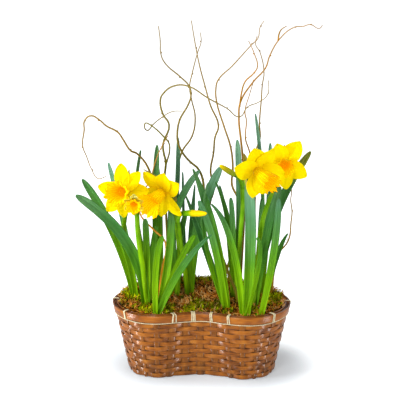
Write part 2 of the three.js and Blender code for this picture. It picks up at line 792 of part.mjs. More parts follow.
// A whole shoot: its bulb and sheath with every leaf and stem that rises from it, as one grown body.
function wholeShoot(shoot) {
  return joined([
    sheath(shoot, 0),
    ...shoot.leaves.map((one) => leaf(shoot, one)),
    ...blooms.filter((bloom) => bloom.shoot === shoot.name).map(bloomStem),
    ...buds.filter((bud) => bud.shoot === shoot.name).map(budStem),
  ]);
}

// A bloom that is only half open holds its petals round its trumpet, which sits further out.
const halfOpen = ({ open }) => open[0] < 45;
const halfOpenWidth = 0.62; // how much narrower its petals are
const halfOpenTrumpet = 0.85; // and how much smaller its trumpet is
const trumpetSeat = (bloom) => (halfOpen(bloom) ? 4 : 0);

// The axes of a bloom: out of the trumpet, up, and to the right as one looks into it.
function bloomAxes({ facing }) {
  const out = vec(facing).normalize();
  const up = new THREE.Vector3(0, 0, 1).addScaledVector(out, -out.z).normalize();
  return { out, up, right: up.clone().cross(out) };
}

// One petal: an egg-shaped blade with a raised keel, from the bloom's middle outwards.
const petalReach = [3, 13, 25, 37.5];
const petalWidth = [11, 25, 25, 7];
const petalCurl = 1.6; // how far a petal's edges stand in front of its keel
const petalThickness = 0.9;
function petal(bloom, angle, open, setBack) {
  const { out, up, right } = bloomAxes(bloom);
  const centre = vec(bloom.centre).addScaledVector(out, -setBack * bloom.size);
  const radial = right.clone().multiplyScalar(Math.cos(angle)).addScaledVector(up, Math.sin(angle));
  const side = out.clone().cross(radial);
  const outward = Math.sin(open);
  const forward = Math.cos(open);
  const row = (behind) =>
    petalReach.map((reach, k) => {
      const past = reach - petalReach[0];
      const along = petalReach[0] + past * outward;
      const curl = k === 0 ? 0 : petalCurl * bloom.size;
      const half = (petalWidth[k] / 2) * bloom.size * bloom.wide * (halfOpen(bloom) ? halfOpenWidth : 1);
      return [-1, 0, 1].map((across) =>
        centre
          .clone()
          .addScaledVector(radial, along * bloom.size - (curl * Math.abs(across) - behind) * forward)
          .addScaledVector(side, across * half)
          .addScaledVector(out, past * forward * bloom.size + (curl * Math.abs(across) - behind) * outward),
      );
    });
  return sheet(row(0), row(petalThickness));
}

// The six petals in their two whorls, grown into the tube behind them.
function petals(bloom) {
  const { out } = bloomAxes(bloom);
  const centre = vec(bloom.centre);
  const at = (distance) => centre.clone().addScaledVector(out, distance * bloom.size);
  const tube = stalk(
    [at(-tubeLength), at(-6), at(trumpetSeat(bloom) / bloom.size)],
    (t) => THREE.MathUtils.lerp(3.2, 7, t) * bloom.size,
    6,
    1,
  );
  const blades = Array.from({ length: 6 }, (_, k) =>
    petal(bloom, degrees(bloom.petals[k]), degrees(bloom.open[k]), k % 2 ? 0.9 : 2.6),
  );
  return joined([tube, ...blades]);
}

// The trumpet: a thin pleated cup that flares to a frilled lip.
const coronaOutside = [[0, 6.6], [12, 8.6], [25, 11.6]]; // height and radius, below the lip
const coronaLength = 35.5;
const coronaSides = 14;
const coronaThickness = 0.9;
function corona(bloom) {
  const { out, up, right } = bloomAxes(bloom);
  const base = vec(bloom.centre).addScaledVector(out, trumpetSeat(bloom) + gap);
  const size = bloom.size * (halfOpen(bloom) ? halfOpenTrumpet : 1);
  const levels = [...coronaOutside, [coronaLength, bloom.mouth / size]];
  const ring = ([height, radius], thinner) =>
    Array.from({ length: coronaSides }, (_, i) => {
      const angle = (2 * Math.PI * i) / coronaSides;
      const flare = (height / coronaLength) ** 2;
      const pleat = 1 + (i % 2 ? 0.07 : -0.05) * flare;
      const r = (radius * pleat) * size - thinner;
      return base
        .clone()
        .addScaledVector(out, (height + (i % 2 ? 0.8 : -0.8) * flare) * size)
        .addScaledVector(right, r * Math.cos(angle))
        .addScaledVector(up, r * Math.sin(angle));
    });
  const outside = levels.map((level) => ring(level, 0));
  const inside = levels
    .slice(1)
    .reverse()
    .map((level) => ring(level, coronaThickness));
  const floor = ring([1.5, levels[0][1]], coronaThickness);
  return solidOf(skinned([...outside, ...inside, floor]));
}

// A closed bud: a slim spindle from the end of its stem to its point.
function budBody(bud) {
  const base = vec(bud.base);
  const way = vec(bud.point).sub(base);
  const start = base.clone().addScaledVector(way.clone().normalize(), gap);
  const radius = (t) => bud.radius * (t < 0.99 ? Math.sqrt(Math.sin(Math.PI * (0.22 + 0.74 * t))) : 0.2);
  return stalk([start, start.clone().lerp(vec(bud.point), 0.5), vec(bud.point)], radius, 7, 3);
}

// A willow twig and its forks, from the soil to its curling tips.
function willow({ route, forks, thick }) {
  const [x, y] = route[0];
  const taper = (from, to) => (t) => THREE.MathUtils.lerp(from, to, t ** 0.8) / 2;
  const rooted = [[x, y, twigRoot], [x, y, 84], ...route].map(vec);
  const main = stalk(rooted, taper(...thick), 4, 1);
  const sides = forks.map((fork) =>
    stalk(fork.map(vec), taper(thick[1] + 0.7, thick[1]), 4, 1),
  );
  return joined([main, ...sides]);
}

const basket = new THREE.Group();

function addPiece(name, shape, colour, roughness) {
  const geometry = geometryFrom(shape.isBufferGeometry ? solidOf(shape) : shape);
  const material = new THREE.MeshStandardMaterial({ color: colour, roughness, metalness: 0 });
  const piece = new THREE.Mesh(geometry, material);
  piece.name = name;
  basket.add(piece);
}

addPiece("basket_base", basketBase(), colours.bamboo, 0.55);
addPiece("basket_wall", basketWall(), colours.bamboo, 0.45);
addPiece("rim_outer_band", outerBand(), colours.bambooRim, 0.4);
addPiece("rim_inner_band", innerBand(), colours.bambooRim, 0.4);
addPiece("rim_lashing", rimLashing(), colours.cane, 0.6);
addPiece("liner", liner(), colours.liner, 0.5);
addPiece("soil", soil(), colours.soil, 0.95);
addPiece("moss", moss(), colours.moss, 0.95);
for (const shoot of shoots) addPiece(shoot.name, wholeShoot(shoot), colours.leaf, 0.45);
for (const bloom of blooms) {
  addPiece(bloom.name + "_petals", petals(bloom), colours.petal, 0.5);
  addPiece(bloom.name + "_trumpet", corona(bloom), colours.corona, 0.5);
}
for (const bud of buds) addPiece(bud.name, budBody(bud), colours.bud, 0.5);
for (const twig of twigs) addPiece(twig.name, willow(twig), colours.willow, 0.7);

export default basket;
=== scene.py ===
import math
import random
from functools import partial

import bpy
import numpy as np
from mathutils import Matrix, Vector


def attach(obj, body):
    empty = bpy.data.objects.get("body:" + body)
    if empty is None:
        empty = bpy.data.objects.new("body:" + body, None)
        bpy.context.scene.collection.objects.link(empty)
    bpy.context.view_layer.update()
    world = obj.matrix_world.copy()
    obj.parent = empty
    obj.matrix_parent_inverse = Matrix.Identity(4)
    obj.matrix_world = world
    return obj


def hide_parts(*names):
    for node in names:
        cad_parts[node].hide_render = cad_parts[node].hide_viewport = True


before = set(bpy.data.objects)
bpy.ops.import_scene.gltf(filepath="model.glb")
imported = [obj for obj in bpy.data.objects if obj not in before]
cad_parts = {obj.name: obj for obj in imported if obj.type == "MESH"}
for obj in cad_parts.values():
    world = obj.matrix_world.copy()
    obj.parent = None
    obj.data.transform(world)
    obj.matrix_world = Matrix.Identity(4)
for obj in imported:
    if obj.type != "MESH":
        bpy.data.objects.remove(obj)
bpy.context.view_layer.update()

mm = 0.001  # places and sizes below are millimetres, from the middle of the basket's underside
fullTurn = 2 * math.pi
scene = bpy.context.scene
scene.view_settings.view_transform = "Standard"


# small helpers

def mix(a, b, t):
    return a + (b - a) * t


def ease(t):
    t = min(1, max(0, t))
    return t * t * (3 - 2 * t)


def curveOf(places, values):
    # a run of values through given places, half way between straight steps and smooth ones
    def at(t):
        k = min(max(int(np.searchsorted(places, t)) - 1, 0), len(places) - 2)
        share = (t - places[k]) / (places[k + 1] - places[k])
        return mix(values[k], values[k + 1], ease(share) * 0.5 + 0.5 * min(1, max(0, share)))
    return at


def spoke(right, up, angle):
    return right * math.cos(angle) + up * math.sin(angle)


def pickOnly(piece):
    for other in list(bpy.context.selected_objects):
        other.select_set(False)
    piece.select_set(True)
    bpy.context.view_layer.objects.active = piece


def applyModifier(piece, kind, **settings):
    pickOnly(piece)
    bpy.ops.object.modifier_add(type=kind)
    modifier = piece.modifiers[-1]
    for name, value in settings.items():
        setattr(modifier, name, value)
    bpy.ops.object.modifier_apply(modifier=modifier.name)


def thicken(piece, thickness, offset=0, **settings):
    applyModifier(piece, "SOLIDIFY", thickness=thickness * mm, offset=offset, **settings)


def roundEdges(piece, width, segments):
    applyModifier(piece, "BEVEL", width=width * mm, segments=segments, limit_method="ANGLE",
                  angle_limit=math.radians(50))


def shadeSmooth(piece, sharpest=None):
    # smooth all over, or only where faces meet at less than so many degrees
    pickOnly(piece)
    if sharpest is None:
        bpy.ops.object.shade_smooth()
    else:
        bpy.ops.object.shade_smooth_by_angle(angle=math.radians(sharpest))


def smoothOut(piece):
    applyModifier(piece, "SUBSURF", levels=1, render_levels=1)
    shadeSmooth(piece)


def editAll(piece):
    pickOnly(piece)
    bpy.ops.object.mode_set(mode="EDIT")
    bpy.ops.mesh.select_all(action="SELECT")


def wrapGrid(name, across, along, place, weld=True):
    # a grid laid over a surface: place(u, v) says where each of its points goes
    bpy.ops.mesh.primitive_grid_add(x_subdivisions=across, y_subdivisions=along, size=1)
    piece = bpy.context.object
    piece.name = piece.data.name = name
    for vertex in piece.data.vertices:
        vertex.co = Vector(place(vertex.co.x + 0.5, vertex.co.y + 0.5)) * mm
    if weld:
        # doubles merged first, then the faces turned outwards
        editAll(piece)
        bpy.ops.mesh.remove_doubles(threshold=0.00001)
        bpy.ops.mesh.normals_make_consistent(inside=False)
        bpy.ops.object.mode_set(mode="OBJECT")
    return piece


def tubeAlong(name, points, radii, sides=8, steps=4):
    # a round stem: a curve through the points with a radius at each, made a mesh
    bpy.ops.curve.primitive_bezier_curve_add()
    piece = bpy.context.object
    piece.name = name
    spline = piece.data.splines[0]
    spline.bezier_points.add(len(points) - 2)
    for spot, place, radius in zip(spline.bezier_points, points, radii):
        spot.co = Vector(place) * mm
        spot.handle_left_type = spot.handle_right_type = "AUTO"
        spot.radius = radius
    piece.data.resolution_u = steps
    piece.data.bevel_depth = mm
    piece.data.bevel_resolution = sides // 2 - 2
    piece.data.use_fill_caps = True
    pickOnly(piece)
    bpy.ops.object.convert(target="MESH")
    return bpy.context.object


def turnedForm(name, rings, start, way, sides):
    # a body drawn out ring by ring along a line: rings are (distance along, radius)
    way = Vector(way).normalized()
    across = way.orthogonal().normalized()
    frameOf = Matrix((across, way.cross(across), way)).transposed().to_4x4()
    bpy.ops.mesh.primitive_circle_add(vertices=sides, radius=rings[0][1] * mm, fill_type="NGON",
                                      location=(0, 0, rings[0][0] * mm))
    piece = bpy.context.object
    piece.name = piece.data.name = name
    bpy.ops.object.transform_apply(location=True, rotation=False, scale=False)
    editAll(piece)
    for (lastPlace, lastRadius), (place, radius) in zip(rings, rings[1:]):
        bpy.ops.mesh.extrude_region_move(
            TRANSFORM_OT_translate={"value": (0, 0, (place - lastPlace) * mm)})
        bpy.ops.transform.resize(value=(radius / lastRadius, radius / lastRadius, 1),
                                 center_override=(0, 0, place * mm))
    bpy.ops.mesh.select_all(action="SELECT")
    bpy.ops.mesh.normals_make_consistent(inside=False)
    bpy.ops.object.mode_set(mode="OBJECT")
    piece.data.transform(Matrix.Translation(Vector(start) * mm) @ frameOf)
    return piece


def mark(piece, name, value):
    # a number kept on every point, for a material to read
    layer = piece.data.attributes.get(name) or piece.data.attributes.new(name, "FLOAT", "POINT")
    count = len(piece.data.vertices)
    layer.data.foreach_set("value", [value] * count if isinstance(value, (int, float)) else list(value))
    return piece


def dress(piece, *materials):
    piece.data.materials.clear()
    for material in materials:
        piece.data.materials.append(material)
    return piece


def joinAll(pieces, name):
    pickOnly(pieces[0])
    for piece in pieces[1:]:
        piece.select_set(True)
    bpy.ops.object.join()
    pieces[0].name = pieces[0].data.name = name
    return pieces[0]


def handIn(piece, node):
    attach(piece, "root")
    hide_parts(node)


# materials

def toLinear(hexColour):
    parts = [int(hexColour[i:i + 2], 16) / 255 for i in (1, 3, 5)]
    return [c / 12.92 if c <= 0.04045 else ((c + 0.055) / 1.055) ** 2.4 for c in parts] + [1]


def connect(node, inputs):
    # a node gives its first output in use, a socket is linked, and any other value is set
    for name, value in inputs.items():
        if isinstance(value, bpy.types.Node):
            value = next(output for output in value.outputs if output.enabled)
        if isinstance(value, bpy.types.NodeSocket):
            node.id_data.links.new(value, node.inputs[name])
        else:
            node.inputs[name].default_value = toLinear(value) if isinstance(value, str) else value


def addNode(tree, kind, inputs={}, stops=(), **settings):
    # one node with its settings and links; stops are a colour ramp's (place, hex)
    node = tree.nodes.new("ShaderNode" + kind)
    for name, value in settings.items():
        setattr(node, name, value)
    connect(node, inputs)
    elements = node.color_ramp.elements if stops else []
    while len(elements) < len(stops):
        elements.new(0.5)
    for element, (place, colour) in zip(elements, stops):
        element.position = place
        element.color = toLinear(colour)
    return node


def newMaterial(name, **values):
    # gives the material and what adds a node to it; values that are the same all over go straight onto
    # the shader's sockets
    material = bpy.data.materials.new(name)
    material.use_nodes = True
    setShader(material, {socket.replace("_", " "): value for socket, value in values.items()})
    return material, partial(addNode, material.node_tree)


def setShader(material, inputs):
    connect(material.node_tree.nodes["Principled BSDF"], inputs)
    return material


def finishSkin(material, colour, height, depth, strength=1.0):
    # the last step of a material: its colour, and its relief, which is depth millimetres from low to high
    relief = addNode(material.node_tree, "Bump", {"Height": height, "Distance": depth * mm,
                                                  "Strength": strength})
    return setShader(material, {"Base Color": colour, "Normal": relief})


def streaksOf(add, place, stretch, detail, roughness=0.5):
    # a pattern drawn out along the surface: noise in a stretched space
    spread = add("Mapping", {"Vector": place, "Scale": stretch})
    return add("TexNoise", {"Vector": spread, "Scale": 1.0, "Detail": detail, "Roughness": roughness})


def ribsOf(add, across, count):
    # so many ribs from 0 to 1 across the surface, as a sine
    turns = add("Math", {0: across, 1: fullTurn * count}, operation="MULTIPLY")
    return add("Math", {0: turns}, operation="SINE")


def offMiddleOf(add, across):
    # 0 along the middle of a strip, 0.5 at its edges
    aside = add("Math", {0: across, 1: 0.5}, operation="SUBTRACT")
    return add("Math", {0: aside}, operation="ABSOLUTE")


def swayedBy(add, value, pattern, reach):
    # a value moved up and down by a pattern, by half of reach either way
    swing = add("Math", {0: pattern, 1: reach, 2: -reach / 2}, operation="MULTIPLY_ADD")
    return add("Math", {0: value, 1: swing}, operation="ADD")


def bambooSplint(name, width, length, stops, edgeShade, relief, roughness):
    # split bamboo, stained and lacquered: long fine fibres, a glossy skin, and painted shade along
    # the edges, where each splint meets the next; edgeShade is its colour and how much of it there is
    material, add = newMaterial(name, Roughness=roughness, Specular_IOR_Level=0.12, Coat_Weight=0.5,
                                Coat_Roughness=0.2)
    uv = add("UVMap")
    strip = add("Attribute", attribute_name="strip").outputs["Fac"]
    shift = add("CombineXYZ", {"X": strip, "Z": strip})
    run = add("VectorMath", {0: uv, 1: shift}, operation="ADD")
    # fibres 0.3 mm wide that run on for about 12 mm, drawn twice as coarse as real so that they show
    fibre = streaksOf(add, run, (width / 0.6, length / 14, 9), 4.0, 0.6)
    # stain that took unevenly, in patches of about 15 mm
    patch = streaksOf(add, run, (width / 11, length / 22, 31), 2.0)
    both = add("Math", {0: fibre, 1: patch}, operation="ADD")
    half = add("Math", {0: both, 1: 0.5}, operation="MULTIPLY")
    base = add("ValToRGB", {"Fac": half}, stops=stops)
    # painted shade: the edges of each splint, where it meets the next, are darker
    offMiddle = offMiddleOf(add, add("SeparateXYZ", {"Vector": uv}).outputs["X"])
    edge = add("MapRange", {"Value": offMiddle, "From Min": 0.36, "From Max": 0.5, "To Min": 0.0,
                            "To Max": edgeShade[1]})
    edgeShaded = add("Mix", {0: edge, 6: base, 7: edgeShade[0]}, data_type="RGBA")
    # damp has stained the foot darker, in streaks that run down from 55 mm up
    spot = add("TexCoord").outputs["Object"]
    drip = streaksOf(add, spot, (1 / (8 * mm), 1 / (8 * mm), 1 / (60 * mm)), 3.0)
    damp = add("MapRange", {"Value": drip, "From Min": 0.38, "From Max": 0.65, "To Min": 0.1,
                            "To Max": 0.7})
    height = add("SeparateXYZ", {"Vector": spot}).outputs["Z"]
    low = add("MapRange", {"Value": height, "From Max": 55 * mm, "To Min": 1.0, "To Max": 0.0},
              interpolation_type="SMOOTHSTEP")
    stain = add("Math", {0: damp, 1: low}, operation="MULTIPLY")
    stained = add("Mix", {0: stain, 6: edgeShaded, 7: "#52300F"}, data_type="RGBA")
    worn = add("MapRange", {"Value": fibre, "From Min": 0.3, "From Max": 0.7,
                            "To Min": roughness - 0.08, "To Max": roughness + 0.12})
    # the lacquer has run down over the splints, so its surface looks further up than theirs
    bare = add("NewGeometry").outputs["Normal"]
    lifted = add("VectorMath", {0: bare, 1: (0, 0, 0.42)}, operation="ADD")
    lacquer = add("VectorMath", {0: lifted}, operation="NORMALIZE")
    ripple = add("Bump", {"Height": fibre, "Distance": 0.3 * mm, "Strength": 0.5, "Normal": lacquer})
    setShader(material, {"Roughness": worn, "Coat Normal": ripple})
    return finishSkin(material, stained, fibre, relief, 0.6)


weaverStops = [(0.34, "#542608"), (0.45, "#84480C"), (0.55, "#A25C12"), (0.7, "#BC7A2A")]
stakeStops = [(0.34, "#4E2A08"), (0.45, "#7C450E"), (0.58, "#945614"), (0.74, "#A86A26")]
rimStops = [(0.34, "#603006"), (0.45, "#8E4C0C"), (0.58, "#AC6414"), (0.74, "#BE7C30")]
# the last pair for each: the colour and amount of the painted shade along the splints' edges
weaverSplint = bambooSplint("stainedBambooWeaver", 6.4, 640, weaverStops, ("#4A2A14", 0.6), 0.25, 0.36)
stakeSplint = bambooSplint("stainedBambooStake", 9, 98, stakeStops, ("#3E2412", 0.7), 0.25, 0.42)
rimSplint = bambooSplint("stainedBambooRim", 11.5, 640, rimStops, ("#3A1C0E", 0.5), 0.3, 0.34)


def plaitedBase():
    # the same splint, plaited flat over and under for the bottom, in 8 mm checks
    material, add = newMaterial("plaitedBambooBase", Roughness=0.5)
    place = add("TexCoord").outputs["Object"]
    checks = add("TexChecker", {"Vector": place, "Scale": 1 / (8 * mm)}).outputs["Fac"]
    parts = add("SeparateXYZ", {"Vector": place}).outputs
    fibres = [streaksOf(add, place, stretch, 3.0)
              for stretch in ((1 / (14 * mm), 1 / (0.6 * mm), 1), (1 / (0.6 * mm), 1 / (14 * mm), 1))]
    fibre = add("Mix", {0: checks, 2: fibres[0], 3: fibres[1]})
    # each check swells over its crossing: a sine both ways
    waves = [add("Math", {0: ribsOf(add, parts[axis], 1 / (16 * mm))}, operation="ABSOLUTE")
             for axis in ("X", "Y")]
    swell = add("Math", {0: waves[0], 1: waves[1]}, operation="MULTIPLY")
    # painted shade: darker in the grooves between the swelling checks
    grooveShade = add("MapRange", {"Value": swell, "From Max": 0.35, "To Min": 0.75, "To Max": 0.0})
    colour = add("Mix", {0: grooveShade, 6: add("ValToRGB", {"Fac": fibre}, stops=stakeStops), 7: "#3A2110"},
                 data_type="RGBA")
    return finishSkin(material, colour, swell, 1.2)


def splitCane():
    # split cane, pale and dry: faint lengthwise fibres, barely glossy
    material, add = newMaterial("splitCane", Roughness=0.55)
    place = add("TexCoord").outputs["Object"]
    fibre = streaksOf(add, place, (1 / (0.5 * mm), 1 / (0.5 * mm), 1 / (5 * mm)), 3.0)
    colour = add("ValToRGB", {"Fac": fibre}, stops=[(0.3, "#A8946A"), (0.5, "#D9CBA2"), (0.7, "#EFE6C8")])
    return finishSkin(material, colour, fibre, 0.15)


def filmLiner():
    # black polythene film: smooth, soft creases in relief that catch the light, with a painted sheen on
    # their ridges
    material, add = newMaterial("polytheneFilm", Roughness=0.32)
    place = add("TexCoord").outputs["Object"]
    creaseAndSheen = add("TexNoise", {"Vector": place, "Scale": 1 / (12 * mm), "Detail": 3.0, "Distortion": 1.5})
    colour = add("ValToRGB", {"Fac": creaseAndSheen}, stops=[(0.35, "#15120F"), (0.65, "#2B2620")])
    return finishSkin(material, colour, creaseAndSheen, 1.5)


def pottingSoil():
    # damp peat: dark crumbs of 1 to 4 mm with paler fibres
    material, add = newMaterial("pottingPeat", Roughness=0.95)
    place = add("TexCoord").outputs["Object"]
    crumb = add("TexVoronoi", {"Vector": place, "Scale": 1 / (2.5 * mm), "Randomness": 1.0})
    grit = add("TexNoise", {"Vector": place, "Scale": 1 / (1.2 * mm), "Detail": 5.0})
    both = add("Math", {0: crumb, 1: grit}, operation="MULTIPLY")
    colour = add("ValToRGB", {"Fac": both}, stops=[(0.05, "#1C120A"), (0.3, "#3A281B"), (0.55, "#5E4630")])
    return finishSkin(material, colour, both, 1.5)


def mossBed():
    # the dark felt of old strands under the moss, darkened further as painted shade in the gaps between
    # strands
    material, add = newMaterial("mossGround", Roughness=0.9, Specular_IOR_Level=0.04)
    place = add("TexCoord").outputs["Object"]
    speck = add("TexNoise", {"Vector": place, "Scale": 1 / (1.6 * mm), "Detail": 5.0})
    colour = add("ValToRGB", {"Fac": speck}, stops=[(0.35, "#140E06"), (0.5, "#33280C"), (0.65, "#54400F")])
    return finishSkin(material, colour, speck, 2.0)


def sheetMoss():
    # dried sheet moss: dull strands from lime green through olive to rust brown, in drifts 30 mm across
    material, add = newMaterial("sheetMoss", Roughness=0.9, Specular_IOR_Level=0.04)
    place = add("TexCoord").outputs["Object"]
    drift = add("TexNoise", {"Vector": place, "Scale": 1 / (32 * mm), "Detail": 2.0})
    tone = add("Attribute", attribute_name="tone").outputs["Fac"]
    colour = add("ValToRGB", {"Fac": swayedBy(add, tone, drift, 0.7)}, stops=[
        (0.0, "#D4D80C"), (0.12, "#A0AC02"), (0.26, "#505C02"), (0.36, "#302204"),
        (0.48, "#6E3C06"), (0.6, "#BC6A16"), (0.78, "#DC9236"), (1.0, "#F0C47E")])
    return setShader(material, {"Base Color": colour})


def leafGreen(name, low, high, veinColour, aged=0.0):
    # daffodil leaf: a waxy blue-green bloom over fresh green, fine lengthwise veins, yellow-green foot;
    # aged is how far its tip has turned olive
    material, add = newMaterial(name, Roughness=0.4, Subsurface_Weight=0.08, Specular_IOR_Level=0.08,
                                Subsurface_Radius=(0.002, 0.003, 0.0006), Subsurface_Scale=1.0)
    uv = add("UVMap")
    parts = add("SeparateXYZ", {"Vector": uv}).outputs
    place = add("TexCoord").outputs["Object"]
    height = add("SeparateXYZ", {"Vector": place}).outputs["Z"]
    tone = add("Attribute", attribute_name="tone").outputs["Fac"]
    # the foot is yellow-green up to about 150 mm, later or sooner from leaf to leaf
    shift = add("Math", {0: tone, 1: -0.07, 2: height}, operation="MULTIPLY_ADD")
    wash = add("TexNoise", {"Vector": place, "Scale": 1 / (40 * mm), "Detail": 2.0})
    shift = add("Math", {0: wash, 1: 0.06, 2: shift}, operation="MULTIPLY_ADD")
    climb = add("MapRange", {"Value": shift, "From Min": 0.11, "From Max": 0.29})
    colour = add("ValToRGB", {"Fac": climb}, stops=[
        (0.0, low[0]), (0.38, low[1]), (0.72, high[0]), (1.0, high[1])])
    # veins 0.8 mm apart
    vein = ribsOf(add, parts["X"], 13)
    veinLight = add("MapRange", {"Value": vein, "From Min": -1.0, "To Min": 0.0, "To Max": 0.22})
    veinTint = add("ValToRGB", {"Fac": climb}, stops=[(0.2, "#A8D014"), (0.8, veinColour)])
    colour = add("Mix", {0: veinLight, 6: colour, 7: veinTint}, data_type="RGBA")
    # long darker streaks
    streak = streaksOf(add, uv, (7, 1.4, 1), 3.0)
    dark = add("MapRange", {"Value": streak, "From Min": 0.35, "From Max": 0.65, "To Min": 0.04,
                            "To Max": 0.5})
    colour = add("Mix", {0: dark, 6: colour, 7: "#1E5208"}, data_type="RGBA")
    # painted shade: the margins are darker, and so is the hollow along the middle
    shadeAcross = add("ValToRGB", {"Fac": offMiddleOf(add, parts["X"])}, stops=[
        (0.0, "#707070"), (0.1, "#101010"), (0.38, "#000000"), (0.5, "#A0A0A0")])
    colour = add("Mix", {0: shadeAcross, 6: colour, 7: "#1A4A06"}, data_type="RGBA")
    # painted shade: some leaves, by their tone, are a deeper green all over, as leaves in shade
    shadedLeaf = add("MapRange", {"Value": tone, "From Max": 0.45, "To Min": 0.42, "To Max": 0.0})
    colour = add("Mix", {0: shadedLeaf, 6: colour, 7: "#1C5A14"}, data_type="RGBA")
    ageing = add("MapRange", {"Value": parts["Y"], "From Min": 0.62, "From Max": 0.8, "To Min": 0.0,
                              "To Max": aged})
    olive = add("ValToRGB", {"Fac": streak}, stops=[(0.4, "#4A6414"), (0.6, "#94903C")])
    colour = add("Mix", {0: ageing, 6: colour, 7: olive}, data_type="RGBA")
    return finishSkin(material, colour, vein, 0.12, 0.8)


leafSkin = leafGreen("daffodilLeaf", ("#88BE00", "#549A00"), ("#3C8030", "#78AC6E"), "#A4CCA0")
paleLeafSkin = leafGreen("daffodilLeafBloom", ("#94CA00", "#5EA60C"), ("#54965A", "#7CB090"), "#B0D4B8")
oliveLeafSkin = leafGreen("daffodilLeafAgeing", ("#90CC00", "#5CA80C"), ("#367826", "#447E3C"), "#8CB080",
                          aged=1.0)
stemSkin = leafGreen("daffodilStem", ("#90C400", "#74B000"), ("#66A200", "#649414"), "#9AC63C")


def papery(name, stops, roughness):
    # a dry skin, as on a spathe or a bulb: thin and brown, with lengthwise ribs
    material, add = newMaterial(name, Roughness=roughness)
    rib = streaksOf(add, add("UVMap"), (16, 2.5, 1), 3.0)
    return finishSkin(material, add("ValToRGB", {"Fac": rib}, stops=stops), rib, 0.3)


spatheSkin = papery("driedSpathe", [(0.3, "#6E6A1A"), (0.5, "#A2962C"), (0.7, "#C9A860")], 0.6)
bulbSkin = papery("bulbTunic", [(0.3, "#5A3A1E"), (0.5, "#8A5F35"), (0.7, "#B58A58")], 0.55)


def tepal():
    # daffodil tepal: clear yellow, satin, with fine veins from foot to tip; painted shade deepens its foot
    # to a darker gold, and a faint painted glow of its own keeps it bright
    material, add = newMaterial("daffodilTepal", Roughness=0.7, Subsurface_Weight=0.25,
                                Subsurface_Radius=(0.004, 0.003, 0.0004), Subsurface_Scale=1.0,
                                Specular_IOR_Level=0.02, Emission_Color="#FFD800",
                                Emission_Strength=0.1)
    uv = add("UVMap")
    parts = add("SeparateXYZ", {"Vector": uv}).outputs
    wobble = add("TexNoise", {"Vector": uv, "Scale": 3.0, "Detail": 2.0})
    run = add("Math", {0: wobble, 1: 0.08, 2: parts["X"]}, operation="MULTIPLY_ADD")
    vein = ribsOf(add, run, 15)
    veinDark = add("MapRange", {"Value": vein, "From Min": 0.2, "To Min": 0.0, "To Max": 0.2})
    # painted shade: a deeper gold towards the foot
    colour = add("ValToRGB", {"Fac": parts["Y"]}, stops=[
        (0.0, "#ECC000"), (0.2, "#F2D000"), (0.5, "#F6DA00"), (0.85, "#F8E000"), (1.0, "#F4DE00")])
    colour = add("Mix", {0: veinDark, 6: colour, 7: "#C89A00"}, data_type="RGBA")
    # soft broad washes
    wash = add("MapRange", {"Value": streaksOf(add, uv, (6, 1.2, 1), 2.0), "From Min": 0.45,
                            "From Max": 0.75, "To Min": 0.0, "To Max": 0.25})
    colour = add("Mix", {0: wash, 6: colour, 7: "#DCAE00"}, data_type="RGBA")
    # a young bloom's tepals are still green-white
    young = add("Attribute", attribute_name="young").outputs["Fac"]
    colour = add("Mix", {0: young, 6: colour, 7: "#CFE08A"}, data_type="RGBA")
    return finishSkin(material, colour, vein, 0.2, 0.7)


def corona(name, stops, paintedGlow):
    # the trumpet: deeper golden yellow, ribbed along its pleats, orange in the throat; thin, so some light
    # comes through it, and it has a painted glow of its own as well, strongest inside
    material, add = newMaterial(name, Roughness=0.7, Subsurface_Weight=0.25,
                                Subsurface_Radius=(0.004, 0.003, 0.0003), Subsurface_Scale=1.0,
                                Specular_IOR_Level=0.02, Emission_Color="#FFB400",
                                Emission_Strength=paintedGlow)
    uv = add("UVMap")
    parts = add("SeparateXYZ", {"Vector": uv}).outputs
    rib = ribsOf(add, parts["X"], 22)
    ribDark = add("MapRange", {"Value": rib, "From Min": 0.0, "To Min": 0.0, "To Max": 0.45})
    run = swayedBy(add, parts["Y"], streaksOf(add, uv, (24, 2, 1), 3.0), 0.3)
    colour = add("Mix", {0: ribDark, 6: add("ValToRGB", {"Fac": run}, stops=stops), 7: "#EE8E00"},
                 data_type="RGBA")
    return finishSkin(material, colour, rib, 0.5)


tepalSkin = tepal()
# the last number: how strongly each part has a painted glow
trumpetOuter = corona("coronaOutside", [
    (0.0, "#F6D400"), (0.5, "#F8CC00"), (0.8, "#F8B800"), (1.0, "#F8A600")], 0.04)
trumpetInner = corona("coronaThroat", [
    (0.0, "#F8A400"), (0.18, "#FFBC00"), (0.4, "#FFD000"), (0.85, "#FFCE00"), (1.0, "#FFBE00")], 0.4)


def pollenCoat():
    # anthers and stigma: mealy golden pollen, with a painted glow that keeps them bright in the throat
    material, add = newMaterial("pollenCoat", Roughness=0.9, Specular_IOR_Level=0.02,
                                Emission_Color="#FFA000", Emission_Strength=0.25)
    place = add("TexCoord").outputs["Object"]
    grain = add("TexNoise", {"Vector": place, "Scale": 1 / (0.4 * mm), "Detail": 2.0})
    colour = add("ValToRGB", {"Fac": grain}, stops=[(0.35, "#F0A000"), (0.65, "#FFC81E")])
    return finishSkin(material, colour, grain, 0.2)


pollen = pollenCoat()


def budSkin(name, stops):
    # a closed bud: green spathe at its foot, then rolled yellow tepals with darker overlaps
    material, add = newMaterial(name, Roughness=0.55, Subsurface_Weight=0.1, Specular_IOR_Level=0.05,
                                Subsurface_Radius=(0.003, 0.003, 0.0008), Subsurface_Scale=1.0)
    uv = add("UVMap")
    climb = add("SeparateXYZ", {"Vector": uv}).outputs["Y"]
    streak = streaksOf(add, uv, (10, 1.5, 1), 3.0)
    colour = add("ValToRGB", {"Fac": swayedBy(add, climb, streak, 0.3)}, stops=stops)
    return finishSkin(material, colour, streak, 0.3)


